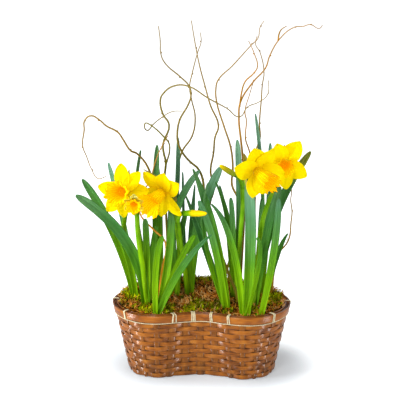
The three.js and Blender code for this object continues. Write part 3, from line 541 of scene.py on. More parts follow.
def willowBark():
    # young willow bark: smooth and waxy, olive to orange-brown, greyer towards the tip, pale lenticels
    material, add = newMaterial("willowBark", Roughness=0.45, Specular_IOR_Level=0.25)
    place = add("TexCoord").outputs["Object"]
    tone = add("Attribute", attribute_name="tone").outputs["Fac"]
    reach = add("Attribute", attribute_name="reach").outputs["Fac"]
    mottle = add("TexNoise", {"Vector": place, "Scale": 1 / (9 * mm), "Detail": 3.0})
    colour = add("ValToRGB", {"Fac": swayedBy(add, tone, mottle, 0.5)}, stops=[
        (0.0, "#605E08"), (0.3, "#7A6A08"), (0.6, "#90700C"), (0.8, "#A87204"), (1.0, "#C88600")])
    grey = add("MapRange", {"Value": reach, "From Min": 0.45, "From Max": 1.0, "To Min": 0.0,
                            "To Max": 0.6})
    colour = add("Mix", {0: grey, 6: colour, 7: "#9A7A4A"}, data_type="RGBA")
    lenticel = add("TexVoronoi", {"Vector": place, "Scale": 1 / (4 * mm)})
    spot = add("MapRange", {"Value": lenticel, "From Min": 0.08, "From Max": 0.16, "To Min": 0.4,
                            "To Max": 0.0})
    colour = add("Mix", {0: spot, 6: colour, 7: "#C9B084"}, data_type="RGBA")
    return finishSkin(material, colour, mottle, 0.4)


bark = willowBark()
print("materials ready")


# where everything grows: listed places in millimetres

# each shoot: where its bulb stands, where it leaves the moss, and its leaves. A leaf has a middle, a tip,
# a width, the degrees it is turned by at its foot and at its tip, and a word if it is slim or aged
shoots = [
    {"name": "daffodil_1", "bulb": (-86, 3), "exit": (-89, -5), "leaves": [
        ((-116, -13, 192), (-160, -22, 279), 12.5, (10, -15)),
        ((-106, 8, 196), (-130, 22, 292), 10, (-20, -50)),
        ((-98, -14, 157), (-112, -16, 201), 9, (0, 20))]},
    {"name": "daffodil_2", "bulb": (-76, -24), "exit": (-74, -23), "leaves": [
        ((-96, -42, 193), (-162, -66, 268), 15, (5, -20)),
        ((-74, -22, 174), (-76, -20, 224), 10, (10, 25)),
        ((-68, -14, 166), (-61, -6, 210), 9, (30, 20))]},
    {"name": "daffodil_3", "bulb": (-51, -31), "exit": (-60, -47), "leaves": [
        ((-58, -58, 166), (-48, -66, 214), 9, (-10, 15)),
        ((-23, -60, 168), (17, -74, 219), 10.5, (0, 10), "slim"),
        ((-31, -48, 164), (-6, -46, 210), 9, (20, 5)),
        ((-43, -36, 169), (-40, -18, 238), 11, (15, -10))]},
    {"name": "daffodil_4", "bulb": (-38, 3), "exit": (-35, 5), "leaves": [
        ((-41, 0, 176), (-40, -2, 246), 12, (0, 15)),
        ((-30, -4, 179), (-21, -5, 228), 8.5, (-15, 10)),
        ((-41, 8, 203), (-3, 12, 285), 10.5, (20, -15))]},
    {"name": "daffodil_5", "bulb": (-10, 5), "exit": (-19, 5), "leaves": [
        ((-15, 10, 188), (-10, 18, 263), 9, (-15, 20), "slim"),
        ((-5, 2, 205), (27, 6, 292), 14, (10, -10)),
        ((-26, 24, 193), (-28, 34, 277), 8, (60, 80))]},
    {"name": "daffodil_6", "bulb": (-62, 26), "exit": (-60, 22), "leaves": [
        ((-92, 28, 201), (-87, 40, 306), 9, (50, 70)),
        ((-66, 30, 205), (-63, 30, 316), 9.5, (-20, 20)),
        ((-59, 18, 203), (-61, 14, 293), 9, (10, -30)),
        ((-40, 34, 210), (-35, 40, 325), 10, (45, 60))]},
    {"name": "daffodil_7", "bulb": (36, -18), "exit": (39, -31), "leaves": [
        ((17, -34, 214), (-10, -30, 297), 14.5, (10, -10), "slim"),
        ((19, -38, 194), (-2, -41, 256), 10, (0, 15)),
        ((6, -21, 185), (-20, -23, 258), 10, (-10, 10), "slim"),
        ((7, -34, 200), (10, -36, 279), 6, (10, 20), "slim")]},
    {"name": "daffodil_8", "bulb": (59, -33), "exit": (61, -47), "leaves": [
        ((68, -50, 205), (64, -42, 284), 15, (5, -5)),
        ((43, -36, 195), (14, -20, 246), 10.5, (-15, 10), "slim"),
        ((80, -62, 179), (76, -66, 213), 6.5, (20, 30))]},
    {"name": "daffodil_9", "bulb": (68, -2), "exit": (72, -20), "leaves": [
        ((98, -1, 217), (148, 13, 313), 12.5, (-10, 15), "aged"),
        ((90, -22, 205), (107, -22, 272), 11, (10, -15))]},
    {"name": "daffodil_10", "bulb": (84, -25), "exit": (81, -44), "leaves": [
        ((99, -52, 192), (104, -56, 265), 10.5, (10, 30)),
        ((101, -36, 170), (118, -30, 209), 8.5, (-20, 10), "slim")]},
    {"name": "daffodil_11", "bulb": (42, 15), "exit": (46, 4), "leaves": [
        ((52, 8, 223), (48, 14, 328), 9.5, (25, -10)),
        ((44, -4, 191), (40, -8, 252), 8, (-10, 20)),
        ((39, 0, 201), (19, -4, 273), 9, (0, 20), "slim"),
        ((35, 14, 205), (24, 20, 262), 7.5, (30, 55), "slim")]},
    {"name": "daffodil_12", "bulb": (84, 20), "exit": (82, 14), "leaves": [
        ((92, 24, 219), (93, 32, 320), 8, (-20, 15)),
        ((84, 34, 231), (72, 40, 359), 8, (40, 60)),
        ((81, 18, 177), (83, 22, 245), 9, (15, 30))]},
]

# each bloom: the middle of its ring of petals, the way it faces, the angle of each petal round it, how far
# each has opened in degrees, its size beside a grown one, how wide its petals and its mouth are, the
# points its stem passes, and its papery sheath's tip and width
blooms = [
    {"name": "bloom_1", "shoot": "daffodil_1", "centre": (-104, -30, 265),
     "facing": (-0.14, -0.97, 0.16), "petals": (96, 48, 2, -86, -126, 173), "open": (88,) * 6,
     "size": 0.94, "wide": 0.88, "mouth": 16, "stem": [(-98, -6, 150), (-107, -4, 205)],
     "spathe": ((-98, -6, 290), 4.5)},
    {"name": "bloom_2", "shoot": "daffodil_2", "centre": (-84, -66, 261), "facing": (0.02, -0.99, -0.07),
     "petals": (90, 30, -30, -90, -150, 150), "open": (34,) * 6, "size": 0.62, "wide": 1, "mouth": 9.8,
     "stem": [(-78, -34, 155), (-83, -42, 205), (-84, -44, 232)], "spathe": ((-75, -46, 240), 4.2)},
    {"name": "bloom_3", "shoot": "daffodil_4", "centre": (-51, -31, 264), "facing": (-0.47, -0.82, -0.3),
     "petals": (124, 68, 32, -47, -103, 197), "open": (82,) * 6, "size": 1, "wide": 0.94, "mouth": 17.5,
     "stem": [(-31, -2, 180), (-35, -9, 225)], "spathe": ((-79, -10, 291), 5)},
    {"name": "bloom_4", "shoot": "daffodil_8", "centre": (76, -66, 303), "facing": (0.53, -0.79, -0.28),
     "petals": (111, 162, 0, 68, -93, -64), "open": (82, 82, 58, 82, 82, 82), "size": 1, "wide": 1.04,
     "mouth": 12, "stem": [(65, -40, 170), (69, -40, 235)], "spathe": ((58, -44, 322), 5)},
    {"name": "bloom_5", "shoot": "daffodil_9", "centre": (112, -4, 300), "facing": (0.02, -0.99, 0.02),
     "petals": (57, 111, -30, -86, 160, 215), "open": (80,) * 6, "size": 0.94, "wide": 0.96, "mouth": 11,
     "stem": [(78, -14, 165), (85, -8, 225)], "spathe": ((112, 12, 322), 5)},
]

# each bud: where it leaves its stem, its point, its radius, the points its stem passes, and its colours
# from foot to point
buds = [
    {"name": "bud_1", "shoot": "daffodil_5", "base": (-22, -33, 236), "point": (10.5, -66, 245.5),
     "radius": 4.5, "stem": [(-24, -8, 160), (-30, -18, 210), (-30, -24, 227)],
     "colours": [(0.0, "#3E7C04"), (0.3, "#78B004"), (0.42, "#D8C000"), (1.0, "#F4CA00")]},
    {"name": "bud_2", "shoot": "daffodil_11", "base": (47, -11, 284), "point": (25, -20, 300),
     "radius": 4, "stem": [(54, -2, 200), (56, -4, 262), (53, -8, 277)],
     "colours": [(0.0, "#6A8A1A"), (0.35, "#8E9420"), (0.7, "#B8AA14"), (0.88, "#DCC400"),
                 (1.0, "#F6DE10")]},
]

# each twig: how far its bark is from olive to orange-brown, its thickness above the moss and at its tip,
# the points it passes, and those of its forks
twigs = [
    {"name": "willow_1", "tone": 0.55, "thick": (3, 1.1), "route": [
        (-62, 44, 112), (-64, 44, 175), (-66, 40, 213), (-74, 34, 277), (-90, 22, 305), (-98, 14, 311),
        (-108, 10, 328), (-114, 6, 338), (-129, 0, 348), (-137, -6, 357), (-148, -8, 363),
        (-157, -6, 356), (-159, 0, 342), (-163, 8, 318), (-159, 14, 302), (-152, 12, 284),
        (-143, 6, 273), (-131, 2, 277)], "forks": []},
    {"name": "willow_2", "tone": 0.15, "thick": (2.8, 1), "route": [
        (-46, 14, 112), (-49, 12, 203), (-51, 8, 277), (-49, 4, 298), (-52, 6, 311), (-53, 10, 321),
        (-45, 16, 347), (-54, 22, 361), (-57, 20, 380), (-51, 12, 392), (-38, 4, 402), (-17, -8, 404),
        (10, -14, 389), (34, -8, 375), (52, 2, 362), (61, 6, 374), (76, 0, 382), (88, -8, 394),
        (89, -10, 413)],
     "forks": [
        [(-50, 6, 290), (-46, 0, 303), (-43, -4, 315), (-44, -8, 328), (-49, -8, 334), (-67, -6, 350),
         (-76, 0, 352), (-74, 6, 341), (-66, 8, 349), (-53, 4, 360), (-39, -4, 369), (-25, -10, 371)]]},
    {"name": "willow_3", "tone": 0.2, "thick": (3.2, 1.2), "route": [
        (50, -14, 112), (40, -8, 138), (23, 4, 177), (8, 18, 205), (2, 22, 240), (1, 24, 267),
        (-6, 22, 285), (-15, 18, 294), (-25, 12, 307), (-32, 6, 324), (-33, 4, 336), (-30, 6, 355),
        (-18, 14, 377), (-15, 18, 389), (-18, 20, 400), (-29, 18, 412), (-49, 8, 432), (-54, 0, 446),
        (-54, -6, 463), (-56, -8, 483)], "forks": []},
    {"name": "willow_4", "tone": 0.35, "thick": (3, 1.1), "route": [
        (24, 8, 124), (15, 4, 146), (7, 8, 162), (4, 30, 191), (10, 34, 232), (16, 32, 258),
        (11, 34, 276), (15, 34, 305), (17, 30, 327), (22, 24, 345), (11, 20, 374), (4, 26, 397),
        (-4, 34, 424), (-9, 34, 448), (-15, 26, 487)], "forks": []},
    {"name": "willow_5", "tone": 0.3, "thick": (2.8, 1), "route": [
        (-31, 32, 112), (-33, 42, 176), (-36, 46, 234), (-36, 50, 275), (-30, 52, 302), (-16, 50, 324),
        (-11, 44, 352), (-16, 36, 381), (-18, 34, 397), (-15, 38, 413), (-7, 46, 444), (-3, 48, 456),
        (-4, 46, 469)], "forks": []},
    {"name": "willow_6", "tone": 0.6, "thick": (2.8, 1), "route": [
        (30, 32, 112), (46, 28, 182), (50, 28, 239), (41, 30, 260), (42, 30, 284), (39, 28, 313),
        (30, 20, 344), (20, 10, 380), (19, 4, 399), (22, 2, 411), (40, 4, 429), (66, 12, 457),
        (74, 14, 465), (77, 10, 481), (82, 6, 489)], "forks": []},
    {"name": "willow_7", "tone": 0.75, "thick": (3, 1), "route": [
        (54, 40, 112), (58, 36, 216), (57, 28, 279), (56, 24, 297), (53, 18, 326), (50, 10, 359),
        (52, 6, 381), (69, 4, 409), (85, 8, 427), (90, 12, 442), (103, 12, 465), (123, 2, 482),
        (132, -4, 483), (142, -8, 486), (154, -6, 481), (158, -4, 485)],
     "forks": [
        [(57, 32, 250), (66, 34, 288), (65, 32, 306), (59, 26, 327), (60, 20, 354), (58, 18, 365),
         (64, 14, 390), (69, 4, 409)],
        [(51, 7, 374), (53, 0, 392), (58, -4, 410), (69, -10, 422), (74, -12, 431), (70, -8, 447),
         (62, -4, 464)],
        [(101, 12, 462), (102, 14, 471), (105, 14, 477), (112, 12, 482)]]},
    {"name": "willow_8", "tone": 0.5, "thick": (2.6, 1), "route": [
        (74, 40, 112), (73, 48, 235), (73, 50, 292), (74, 50, 306), (79, 49, 323), (78, 47, 343),
        (80, 40, 379), (81, 33, 400), (83, 26, 418), (77, 24, 446), (71, 22, 457), (73, 24, 467)],
     "forks": []},
    {"name": "willow_9", "tone": 0.65, "thick": (2.4, 1.1), "route": [
        (99, 10, 112), (101, 10, 140), (105, 8, 165), (120, 4, 189), (123, 0, 217), (124, 0, 231),
        (122, 4, 247), (123, 8, 258), (120, 12, 273)], "forks": []},
    {"name": "willow_10", "tone": 1.0, "thick": (2.6, 1.1), "route": [
        (-58, -6, 112), (-54, -10, 148), (-48, -18, 188), (-53, -20, 198), (-64, -14, 206),
        (-85, -6, 229), (-85, 2, 250), (-71, 6, 270), (-65, 4, 292), (-56, 0, 316), (-45, -4, 336)],
     "forks": []},
]


# the basket: two round lobes and a pinched waist, woven from flat splints

basket = {
    "length": 250, "depth": 130, "waist": 104, "height": 100, "slope": 0.2, "wallInset": 2.6,
    "stakes": 28, "lobeStakes": 10,
}
weaver = {
    "rows": 12, "pitch": 7.1, "start": 1, "width": 7.0, "thick": 0.9, "inset": 0.5, "wave": 0.95,
    "crown": 0.35, "sway": 0.35, "seam": 11.5,
    "tucked": (86.6, 97.8), "tuckedInset": 2,  # the last strip, from and to this height
}
stake = {
    "width": 9.2, "thick": 1.1, "top": 97.5, "inset": 0.6, "crown": 0.3, "lean": 0.4,
    "bend": 0.3, "bendTop": 88,  # the weavers push a stake this far, up to this height
}
stakeCount, lobeStakes = basket["stakes"], basket["lobeStakes"]
halfWay = stakeCount / 2
waistStakes = halfWay - lobeStakes
lobeRadius = basket["depth"] / 2
lobeCentre = basket["length"] / 2 - lobeRadius
waistHalf = basket["waist"] / 2
waistRadius = (lobeCentre ** 2 + waistHalf ** 2 - lobeRadius ** 2) / (2 * (lobeRadius - waistHalf))
waistCentre = waistHalf + waistRadius
lobeSweep = math.pi - math.atan2(waistCentre, lobeCentre)
waistSweep = math.atan2(lobeCentre, waistCentre)


def planPoint(inset, station):
    # a point of the plan, counted in stakes round from the right lobe's front
    side = 1 if station % stakeCount < halfWay else -1
    t = station % stakeCount % halfWay
    if t < lobeStakes:
        angle = -lobeSweep + 2 * lobeSweep * t / lobeStakes
        r = lobeRadius - inset
        return side * (lobeCentre + r * math.cos(angle)), side * r * math.sin(angle)
    angle = waistSweep * (1 - 2 * (t - lobeStakes) / waistStakes)
    r = waistRadius + inset
    return side * r * math.sin(angle), side * (waistCentre - r * math.cos(angle))


def onPlan(inset, station, z):
    return (*planPoint(inset, station), z)


def bandFace(z):
    return basket["slope"] * (basket["height"] - z)


def wallInset(z):
    return basket["wallInset"] + bandFace(z)


def stakePitch(station):
    # millimetres from one stake to the next at the wall's face
    return 2 * lobeSweep * lobeRadius / lobeStakes if station % halfWay < lobeStakes \
        else 2 * waistSweep * waistRadius / waistStakes


def bulge(u):
    # 1 along the middle of a splint, 0 at its edges
    return 1 - (2 * u - 1) ** 2


def makeStrip(name, across, along, place, thick, grainShift):
    # a flat splint; the shift gives each its own piece of the grain
    strip = wrapGrid(name, across, along, place)
    thicken(strip, thick)
    return mark(strip, "strip", grainShift)


dice = random.Random(7)


def makeWeaver(row):
    middle = weaver["start"] + (row + 0.5) * weaver["pitch"]
    sway = [dice.uniform(-weaver["sway"], weaver["sway"]) for _ in range(stakeCount)]
    start = weaver["seam"] + 2 * (row % 3) - 2  # its ends meet behind, on the back waist

    def place(u, v):
        station = start + v * stakeCount
        k = int(station)
        drift = mix(sway[k % stakeCount], sway[(k + 1) % stakeCount], station - k)
        z = middle + drift + (u - 0.5) * weaver["width"]
        # 1 where it lies over a stake, -1 where it goes behind, with a flat run on each
        wave = max(-1, min(1, 1.7 * math.cos(math.pi * (station - row - 1))))
        inset = wallInset(z) + weaver["inset"] - weaver["wave"] * wave - weaver["crown"] * bulge(u)
        return onPlan(inset, station, z)

    return makeStrip("weaver", 4, stakeCount * 8, place, weaver["thick"], row * 1.37)


def tuckedPlace(u, v):
    # the last strip stands flat behind the stakes, tucked between the two rim bands
    z = mix(*weaver["tucked"], u)
    return onPlan(wallInset(z) + weaver["tuckedInset"], weaver["seam"] + v * stakeCount, z)


weavers = [makeWeaver(row) for row in range(weaver["rows"])]
weavers.append(makeStrip("weaver", 2, stakeCount * 4, tuckedPlace, weaver["thick"], 17.3))
weave = joinAll(weavers, "basket_weavers")
roundEdges(weave, 0.2, 1)
shadeSmooth(weave, 40)
dress(weave, weaverSplint)
handIn(weave, "basket_wall")
print("weavers", len(weave.data.polygons))


def makeStake(k):
    lean = dice.uniform(-stake["lean"], stake["lean"])
    half = stake["width"] / 2 / stakePitch(k)

    def place(u, v):
        z = v * stake["top"]
        station = k + (2 * u - 1) * half + lean * 0.02 * math.sin(3 * v + k)
        row = (z - weaver["start"]) / weaver["pitch"] - 0.5
        bend = stake["bend"] * math.cos(math.pi * (row - k - 1)) if z < stake["bendTop"] else 0
        return onPlan(wallInset(z) + stake["inset"] + bend - stake["crown"] * bulge(u), station, z)

    return makeStrip("stake", 2, 40, place, stake["thick"], k * 0.73)


stakes = joinAll([makeStake(k) for k in range(stakeCount)], "basket_stakes")
smoothOut(stakes)
dress(stakes, stakeSplint)
handIn(stakes, "basket_wall")
print("stakes", len(stakes.data.polygons))

rim = {
    "outer": 11.5, "outerInset": 1.2, "inner": 10, "innerInset": 3.5, "room": 2.2, "thick": 2.0,
    "rounding": 0.55, "seam": 11.8,
}


def rimBand(name, height, inset, grainShift, node):
    # a flat band round the plan, its edges rounded, with a little waviness
    def place(u, v):
        station = rim["seam"] + v * stakeCount
        z = basket["height"] - height + u * height - 0.25 * math.sin(station * 1.9) * (1 - u)
        return onPlan(inset(z) + 0.12 * math.sin(station * 0.9 + 1), station, z)

    band = makeStrip(name, 1, stakeCount * 8, place, rim["thick"], grainShift)
    roundEdges(band, rim["rounding"], 2)
    shadeSmooth(band, 40)
    dress(band, rimSplint)
    handIn(band, node)


rimBand("rim_outer", rim["outer"], lambda z: bandFace(z) + rim["outerInset"], 3.1, "rim_outer_band")
rimBand("rim_inner", rim["inner"], lambda z: wallInset(z) + rim["innerInset"] + rim["room"] / 2, 5.7,
        "rim_inner_band")
dress(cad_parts["basket_base"], plaitedBase())
dress(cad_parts["liner"], filmLiner())
dress(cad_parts["soil"], pottingSoil())

# the lashing: strands of cane over both bands, and a cord that runs on below the outer band.
# each wrap is its station, its number of strands and how far they spread at the foot
lashing = {
    "strand": 1.5, "pitch": 1.75, "single": 3.2, "thick": 0.75, "slant": 0.8,
    "cord": 0.6, "cordHeight": 87.6,
    "wraps": [(0.24, 2, 0.6), (2.8, 2, 0.4), (5.2, 2, 0.5), (7.6, 3, 0.3), (9.9, 2, 0.6), (11.4, 3, 0.2),
              (12.7, 2, 0.5), (14.1, 2, 0.3), (16.5, 2, 0.6), (18.9, 2, 0.4), (21.1, 1, 0.4),
              (24, 2, 1.5), (25.5, 3, 0.3), (26.9, 2, 0.4)],
}
innerOut = wallInset(100) + rim["innerInset"] + rim["room"]
# the way of a strand over the bands, as (inset, height): up outside, over the top and down inside
strapLine = [(bandFace(88) - 0.5, 88), (bandFace(94) - 0.55, 94), (-0.45, 99.6), (0.6, 100.75),
             (4, 100.8), (innerOut - 0.5, 100.75), (innerOut + 0.5, 99.6), (innerOut + 2.1, 94),
             (innerOut + 2.9, 89.6)]


def makeStrand(station, count, spread, n):
    aside = (n - (count - 1) / 2) * lashing["pitch"]
    width = lashing["single"] if count == 1 else lashing["strand"]
    spans = len(strapLine) - 1

    def place(u, v):
        k = min(int(v * spans), spans - 1)
        (inset, z), (nextInset, nextZ) = strapLine[k], strapLine[k + 1]
        t = v * spans - k
        foot = aside * spread * abs(2 * v - 1) + (0.5 - v) * lashing["slant"]
        offset = (aside + foot + (u - 0.5) * width) / stakePitch(station)
        return onPlan(mix(inset, nextInset, t), station + offset, mix(z, nextZ, t))

    strand = wrapGrid("strand", 2, 16, place, weld=False)
    thicken(strand, lashing["thick"])
    return strand


def cordPoint(station):
    z = lashing["cordHeight"] + 0.35 * math.sin(station * 2.2)
    return onPlan(bandFace(z) + 0.3 + 0.25 * math.cos(station * 1.7), station, z)


strands = [makeStrand(station, count, spread, n)
           for station, count, spread in lashing["wraps"] for n in range(count)]
cordPoints = [cordPoint(k / 2) for k in range(stakeCount * 2 + 1)]
strands.append(tubeAlong("cord", cordPoints, [lashing["cord"]] * len(cordPoints), sides=6, steps=4))
cane = joinAll(strands, "rim_cane")
smoothOut(cane)
dress(cane, splitCane())
handIn(cane, "rim_lashing")
print("rim ready")


# the moss

mossShape = {"edge": 12.4, "front": 97, "rise": 7, "mound": 13, "edgeTop": 94, "skirt": 88.4, "sunk": 1.5}


def mossHeight(x, y):
    back = ease((y + 45) / 85)
    middle = 1 / (1 + (x / 48) ** 4)
    lumps = 1.6 * math.sin(x * 0.23 + 1) * math.cos(y * 0.27) \
        + 1.2 * math.sin(x * 0.51 + y * 0.37) * math.cos(y * 0.6 - x * 0.2)
    return mossShape["front"] + back * (mossShape["rise"] + mossShape["mound"] * middle) + lumps


def mossPlace(u, v):
    # v runs from the skirt at the soil over the edge and in to the middle
    share = 1 if v < 0.1 else 1 - (v - 0.1) / 0.9
    x, y = planPoint(mossShape["edge"], u * stakeCount)
    x, y = x * (0.15 + 0.85 * share), y * share
    height = mossHeight(x, y) - mossShape["sunk"]
    if share > 0.999:
        height = mossShape["skirt"] if v < 0.05 else min(mossShape["edgeTop"], height)
    return x, y, height


mat = wrapGrid("moss_mat", 112, 20, mossPlace)
shadeSmooth(mat)
mark(mat, "tone", 0.4)
dress(mat, mossBed())
handIn(mat, "moss")


def curlyStrand(seed):
    # one dry strand of moss, curled by chance, about 13 mm long
    roll = random.Random(seed)
    heading, climb = roll.uniform(0, 6.3), roll.uniform(-0.1, 0.5)
    bend, lift = roll.choice((-1, 1)) * roll.uniform(0.5, 1.3), roll.uniform(-0.5, 0.3)
    points = [Vector((0, 0, 0))]
    for _ in range(5):
        points.append(points[-1] + Vector((math.cos(heading) * math.cos(climb),
                                           math.sin(heading) * math.cos(climb), math.sin(climb))) * 2.6)
        heading += bend * roll.uniform(0.5, 1.3)
        climb += lift * roll.uniform(0.2, 1)
    return tubeAlong("strand", points, [0.4, 0.5, 0.52, 0.46, 0.36, 0.14], sides=3, steps=1)


def leafySprig(seed):
    # one green moss stem with small leaves all round it
    roll = random.Random(seed)
    stem = [(0, 0, 0), (roll.uniform(-1, 1), roll.uniform(-1, 1), 4), (roll.uniform(-2, 2), 1, 7.5)]
    parts = [tubeAlong("sprig", stem, [0.45, 0.4, 0.1], sides=4, steps=1)]
    for k in range(8):
        turn = k * 2.4 + roll.uniform(-0.3, 0.3)
        bpy.ops.mesh.primitive_plane_add(size=1)
        leaflet = bpy.context.object
        for vertex in leaflet.data.vertices:
            vertex.co.y *= 0.2 if vertex.co.x > 0 else 1  # a pointed tip
        reach = roll.uniform(2.8, 4.4)
        tilt = Matrix.Rotation(-roll.uniform(0.3, 1.0), 4, "Y")
        leaflet.data.transform(
            Matrix.Scale(mm, 4) @ Matrix.Translation((0, 0, 0.8 + 0.8 * k)) @ Matrix.Rotation(turn, 4, "Z")
            @ tilt @ Matrix.Translation((reach / 2, 0, 0)) @ Matrix.Diagonal((reach, 1.3, 1, 1)))
        parts.append(leaflet)
    return joinAll(parts, "sprig")


def scatter(name, shapes, count, place, seed):
    # many copies of a few small shapes in one mesh, each with its own turn, size and tone
    roll = random.Random(seed)
    drawn = []
    for shape in shapes:
        spots = np.empty(len(shape.data.vertices) * 3)
        shape.data.vertices.foreach_get("co", spots)
        drawn.append((spots.reshape(-1, 3), [tuple(face.vertices) for face in shape.data.polygons]))
    allSpots, allFaces, tones, first = [], [], [], 0
    for _ in range(count):
        spots, faces = drawn[roll.randrange(len(drawn))]
        turn, tone = place(roll)
        matrix = np.array(turn)
        allSpots.append(spots @ matrix[:3, :3].T + matrix[:3, 3])
        allFaces.extend([tuple(i + first for i in face) for face in faces])
        tones.extend([tone] * len(spots))
        first += len(spots)
    data = bpy.data.meshes.new(name)
    data.from_pydata(np.concatenate(allSpots), [], allFaces)
    data.update()
    piece = bpy.data.objects.new(name, data)
    scene.collection.objects.link(piece)
    shadeSmooth(piece)
    return mark(piece, "tone", tones)


mossEdge = [planPoint(mossShape["edge"] - 3, k / 5) for k in range(stakeCount * 5)]
# where green sprigs grow: each tuft's place and radius
mossTufts = [(-98, -2, 14), (-86, -6, 12), (-70, -32, 15), (-45, -37, 12), (-56, -25, 9), (-16, -40, 11),
             (-6, -20, 9), (12, -32, 14), (24, -24, 10), (33, -38, 12), (-4, 40, 13), (14, 38, 11),
             (72, -36, 8), (88, -14, 14), (103, 2, 12), (99, -6, 10), (-60, 20, 14), (66, 30, 14)]
strandLay = {
    "curls": 3400, "sprigs": 1300, "size": (0.6, 1.25), "uneven": (-1.0, 2.2),
    "stray": 0.04,  # the share of sprigs outside the tufts
    "behind": 0.14, "backFoot": 99,  # the share that hangs over the back edge, and how far down
    "endLift": 4,
}


def mossSpot(roll, left, right):
    # a random place on the moss between two x, clear of the shoots, and its distance from the rim
    while True:
        x, y = roll.uniform(left, right), roll.uniform(-56, 56)
        edgeX, edgeY = min(mossEdge, key=lambda spot: math.dist(spot, (x, y)))
        inside = (x - edgeX) * edgeX + (y - edgeY) * edgeY < 0
        if inside and all(math.dist(shoot["exit"], (x, y)) > 6 for shoot in shoots):
            return x, y, math.dist((edgeX, edgeY), (x, y))


def offTufts(roll, x, y):
    return all(math.dist((x, y), (tuftX, tuftY)) > wide * roll.uniform(0.5, 1.1)
               for tuftX, tuftY, wide in mossTufts)


def layStrand(left, right, upright, tones, sink, tufted):
    def place(roll):
        x, y, room = mossSpot(roll, left, right)
        # the leafy sprigs keep to their tufts, with a few strays
        while tufted and roll.random() > strandLay["stray"] and offTufts(roll, x, y):
            x, y, room = mossSpot(roll, left, right)
        # some hang over the mat's steep edge at the back of the waist
        behind = roll.random() < strandLay["behind"]
        if behind:
            station = roll.uniform(11.9, 15) if left < 0 else roll.uniform(9, 12.1)
            x, y = planPoint(mossShape["edge"] - roll.uniform(0, 1.5), station)
        size = roll.uniform(*strandLay["size"]) * min(1, 0.4 + room / 12)  # short ones beside the rim
        turn = Matrix.Rotation(roll.uniform(0, 6.3), 4, "Z")
        turn = turn @ Matrix.Rotation(roll.gauss(0, upright), 4, "X")
        height = mossHeight(x, y) - sink + roll.uniform(*strandLay["uneven"])
        height = mix(strandLay["backFoot"], height, roll.random() ** 0.6) if behind else height
        # at the two ends they stand above the rim
        height += strandLay["endLift"] * ease((abs(x) - 70) / 25)
        # drifts: green at the front, the ends and the back edge, brown in the middle
        brown = 0.06 * ease((y + 20) / 40) - 0.2 * ease((y - 10) / 24) - 0.1 * ease((abs(x) - 50) / 40)
        matrix = Matrix.Translation((x * mm, y * mm, height * mm)) @ turn @ Matrix.Scale(size, 4)
        return matrix, roll.uniform(*tones) + brown
    return place


curls = [curlyStrand(seed) for seed in range(10)]
sprigs = [leafySprig(seed) for seed in range(5)]
mossSkin = sheetMoss()
for side, left, right in (("left", -114, 0), ("right", 0, 114)):
    tangle = scatter("moss_tangle_" + side, curls, strandLay["curls"],
                     layStrand(left, right, 0.6, (0.3, 1.0), 1.2, False), 3)
    fluff = scatter("moss_sprigs_" + side, sprigs, strandLay["sprigs"],
                    layStrand(left, right, 0.7, (0.0, 0.4), 1.8, True), 5)
    for piece in (tangle, fluff):
        dress(piece, mossSkin)
        handIn(piece, "moss")
for shape in curls + sprigs:
    bpy.data.objects.remove(shape)
print("moss ready")


# the shoots

leafForm = {
    "places": [0, 0.12, 0.3, 0.55, 0.78, 0.9, 0.96, 0.985, 1],
    "widths": [0.72, 0.86, 0.97, 1, 0.96, 0.86, 0.66, 0.44, 0.12],
    "slimWidths": [0.72, 0.86, 0.97, 0.92, 0.64, 0.38, 0.24, 0.16, 0.05],  # for a leaf with a long point
    "channel": 0.3,  # how deep a leaf is hollowed, as a share of its width
    "ripple": 0.35, "foot": 94, "apart": 2.2, "thick": 1.3,
    "tall": 240, "bloomy": (0.35, 0.65),  # the share of waxy leaves below and above this height
}
sheathForm = {"from": 70, "to": 100, "radius": 4.8, "thick": 0.8}
bulbRings = [(42, 4), (44, 7), (50, 11.6), (55, 12.4), (60, 11.4), (66, 8), (71, 5.8), (76, 5.2)]
stemForm = {"foot": 97, "radii": (3.6, 2.9), "budRadii": (3.5, 2.8)}
ovaryRings = [(0, 2.4), (2, 3.6), (4.5, 4.2), (7, 4), (8.7, 3)]


def makeLeaf(shoot, leaf, tone):
    middle, tip, wide, turns, *form = leaf
    middle, tip = Vector(middle), Vector(tip)
    exitX, exitY = shoot["exit"]
    # the leaves stand side by side at the foot, each on the side that it leans to
    aside = Vector((middle.x - exitX, middle.y - exitY, 0)).normalized()
    root = Vector((exitX, exitY, leafForm["foot"])) + aside * leafForm["apart"]
    control = middle * 2 - (root + tip) * 0.5
    width = curveOf(leafForm["places"], leafForm["slimWidths" if "slim" in form else "widths"])

    def place(u, v):
        t = 1 - (1 - v) ** 1.4
        at = root * (1 - t) ** 2 + control * 2 * t * (1 - t) + tip * t * t
        along = ((control - root) * (1 - t) + (tip - control) * t).normalized()
        look = math.radians(mix(*turns, t))
        front = Vector((math.sin(look), -math.cos(look), 0.35))
        side = along.cross(front).normalized()
        through = side.cross(along).normalized()
        across = 2 * u - 1
        hollow = leafForm["channel"] * wide * (across ** 2 - 0.4) * (1 - 0.6 * t)
        ripple = leafForm["ripple"] * math.sin(9 * t + 7 * tone) * across
        return at + side * across * (wide / 2 * width(t)) + through * (hollow + ripple)

    piece = wrapGrid("leaf", 6, 26, place)
    thicken(piece, leafForm["thick"])
    smoothOut(piece)
    return mark(piece, "tone", tone)


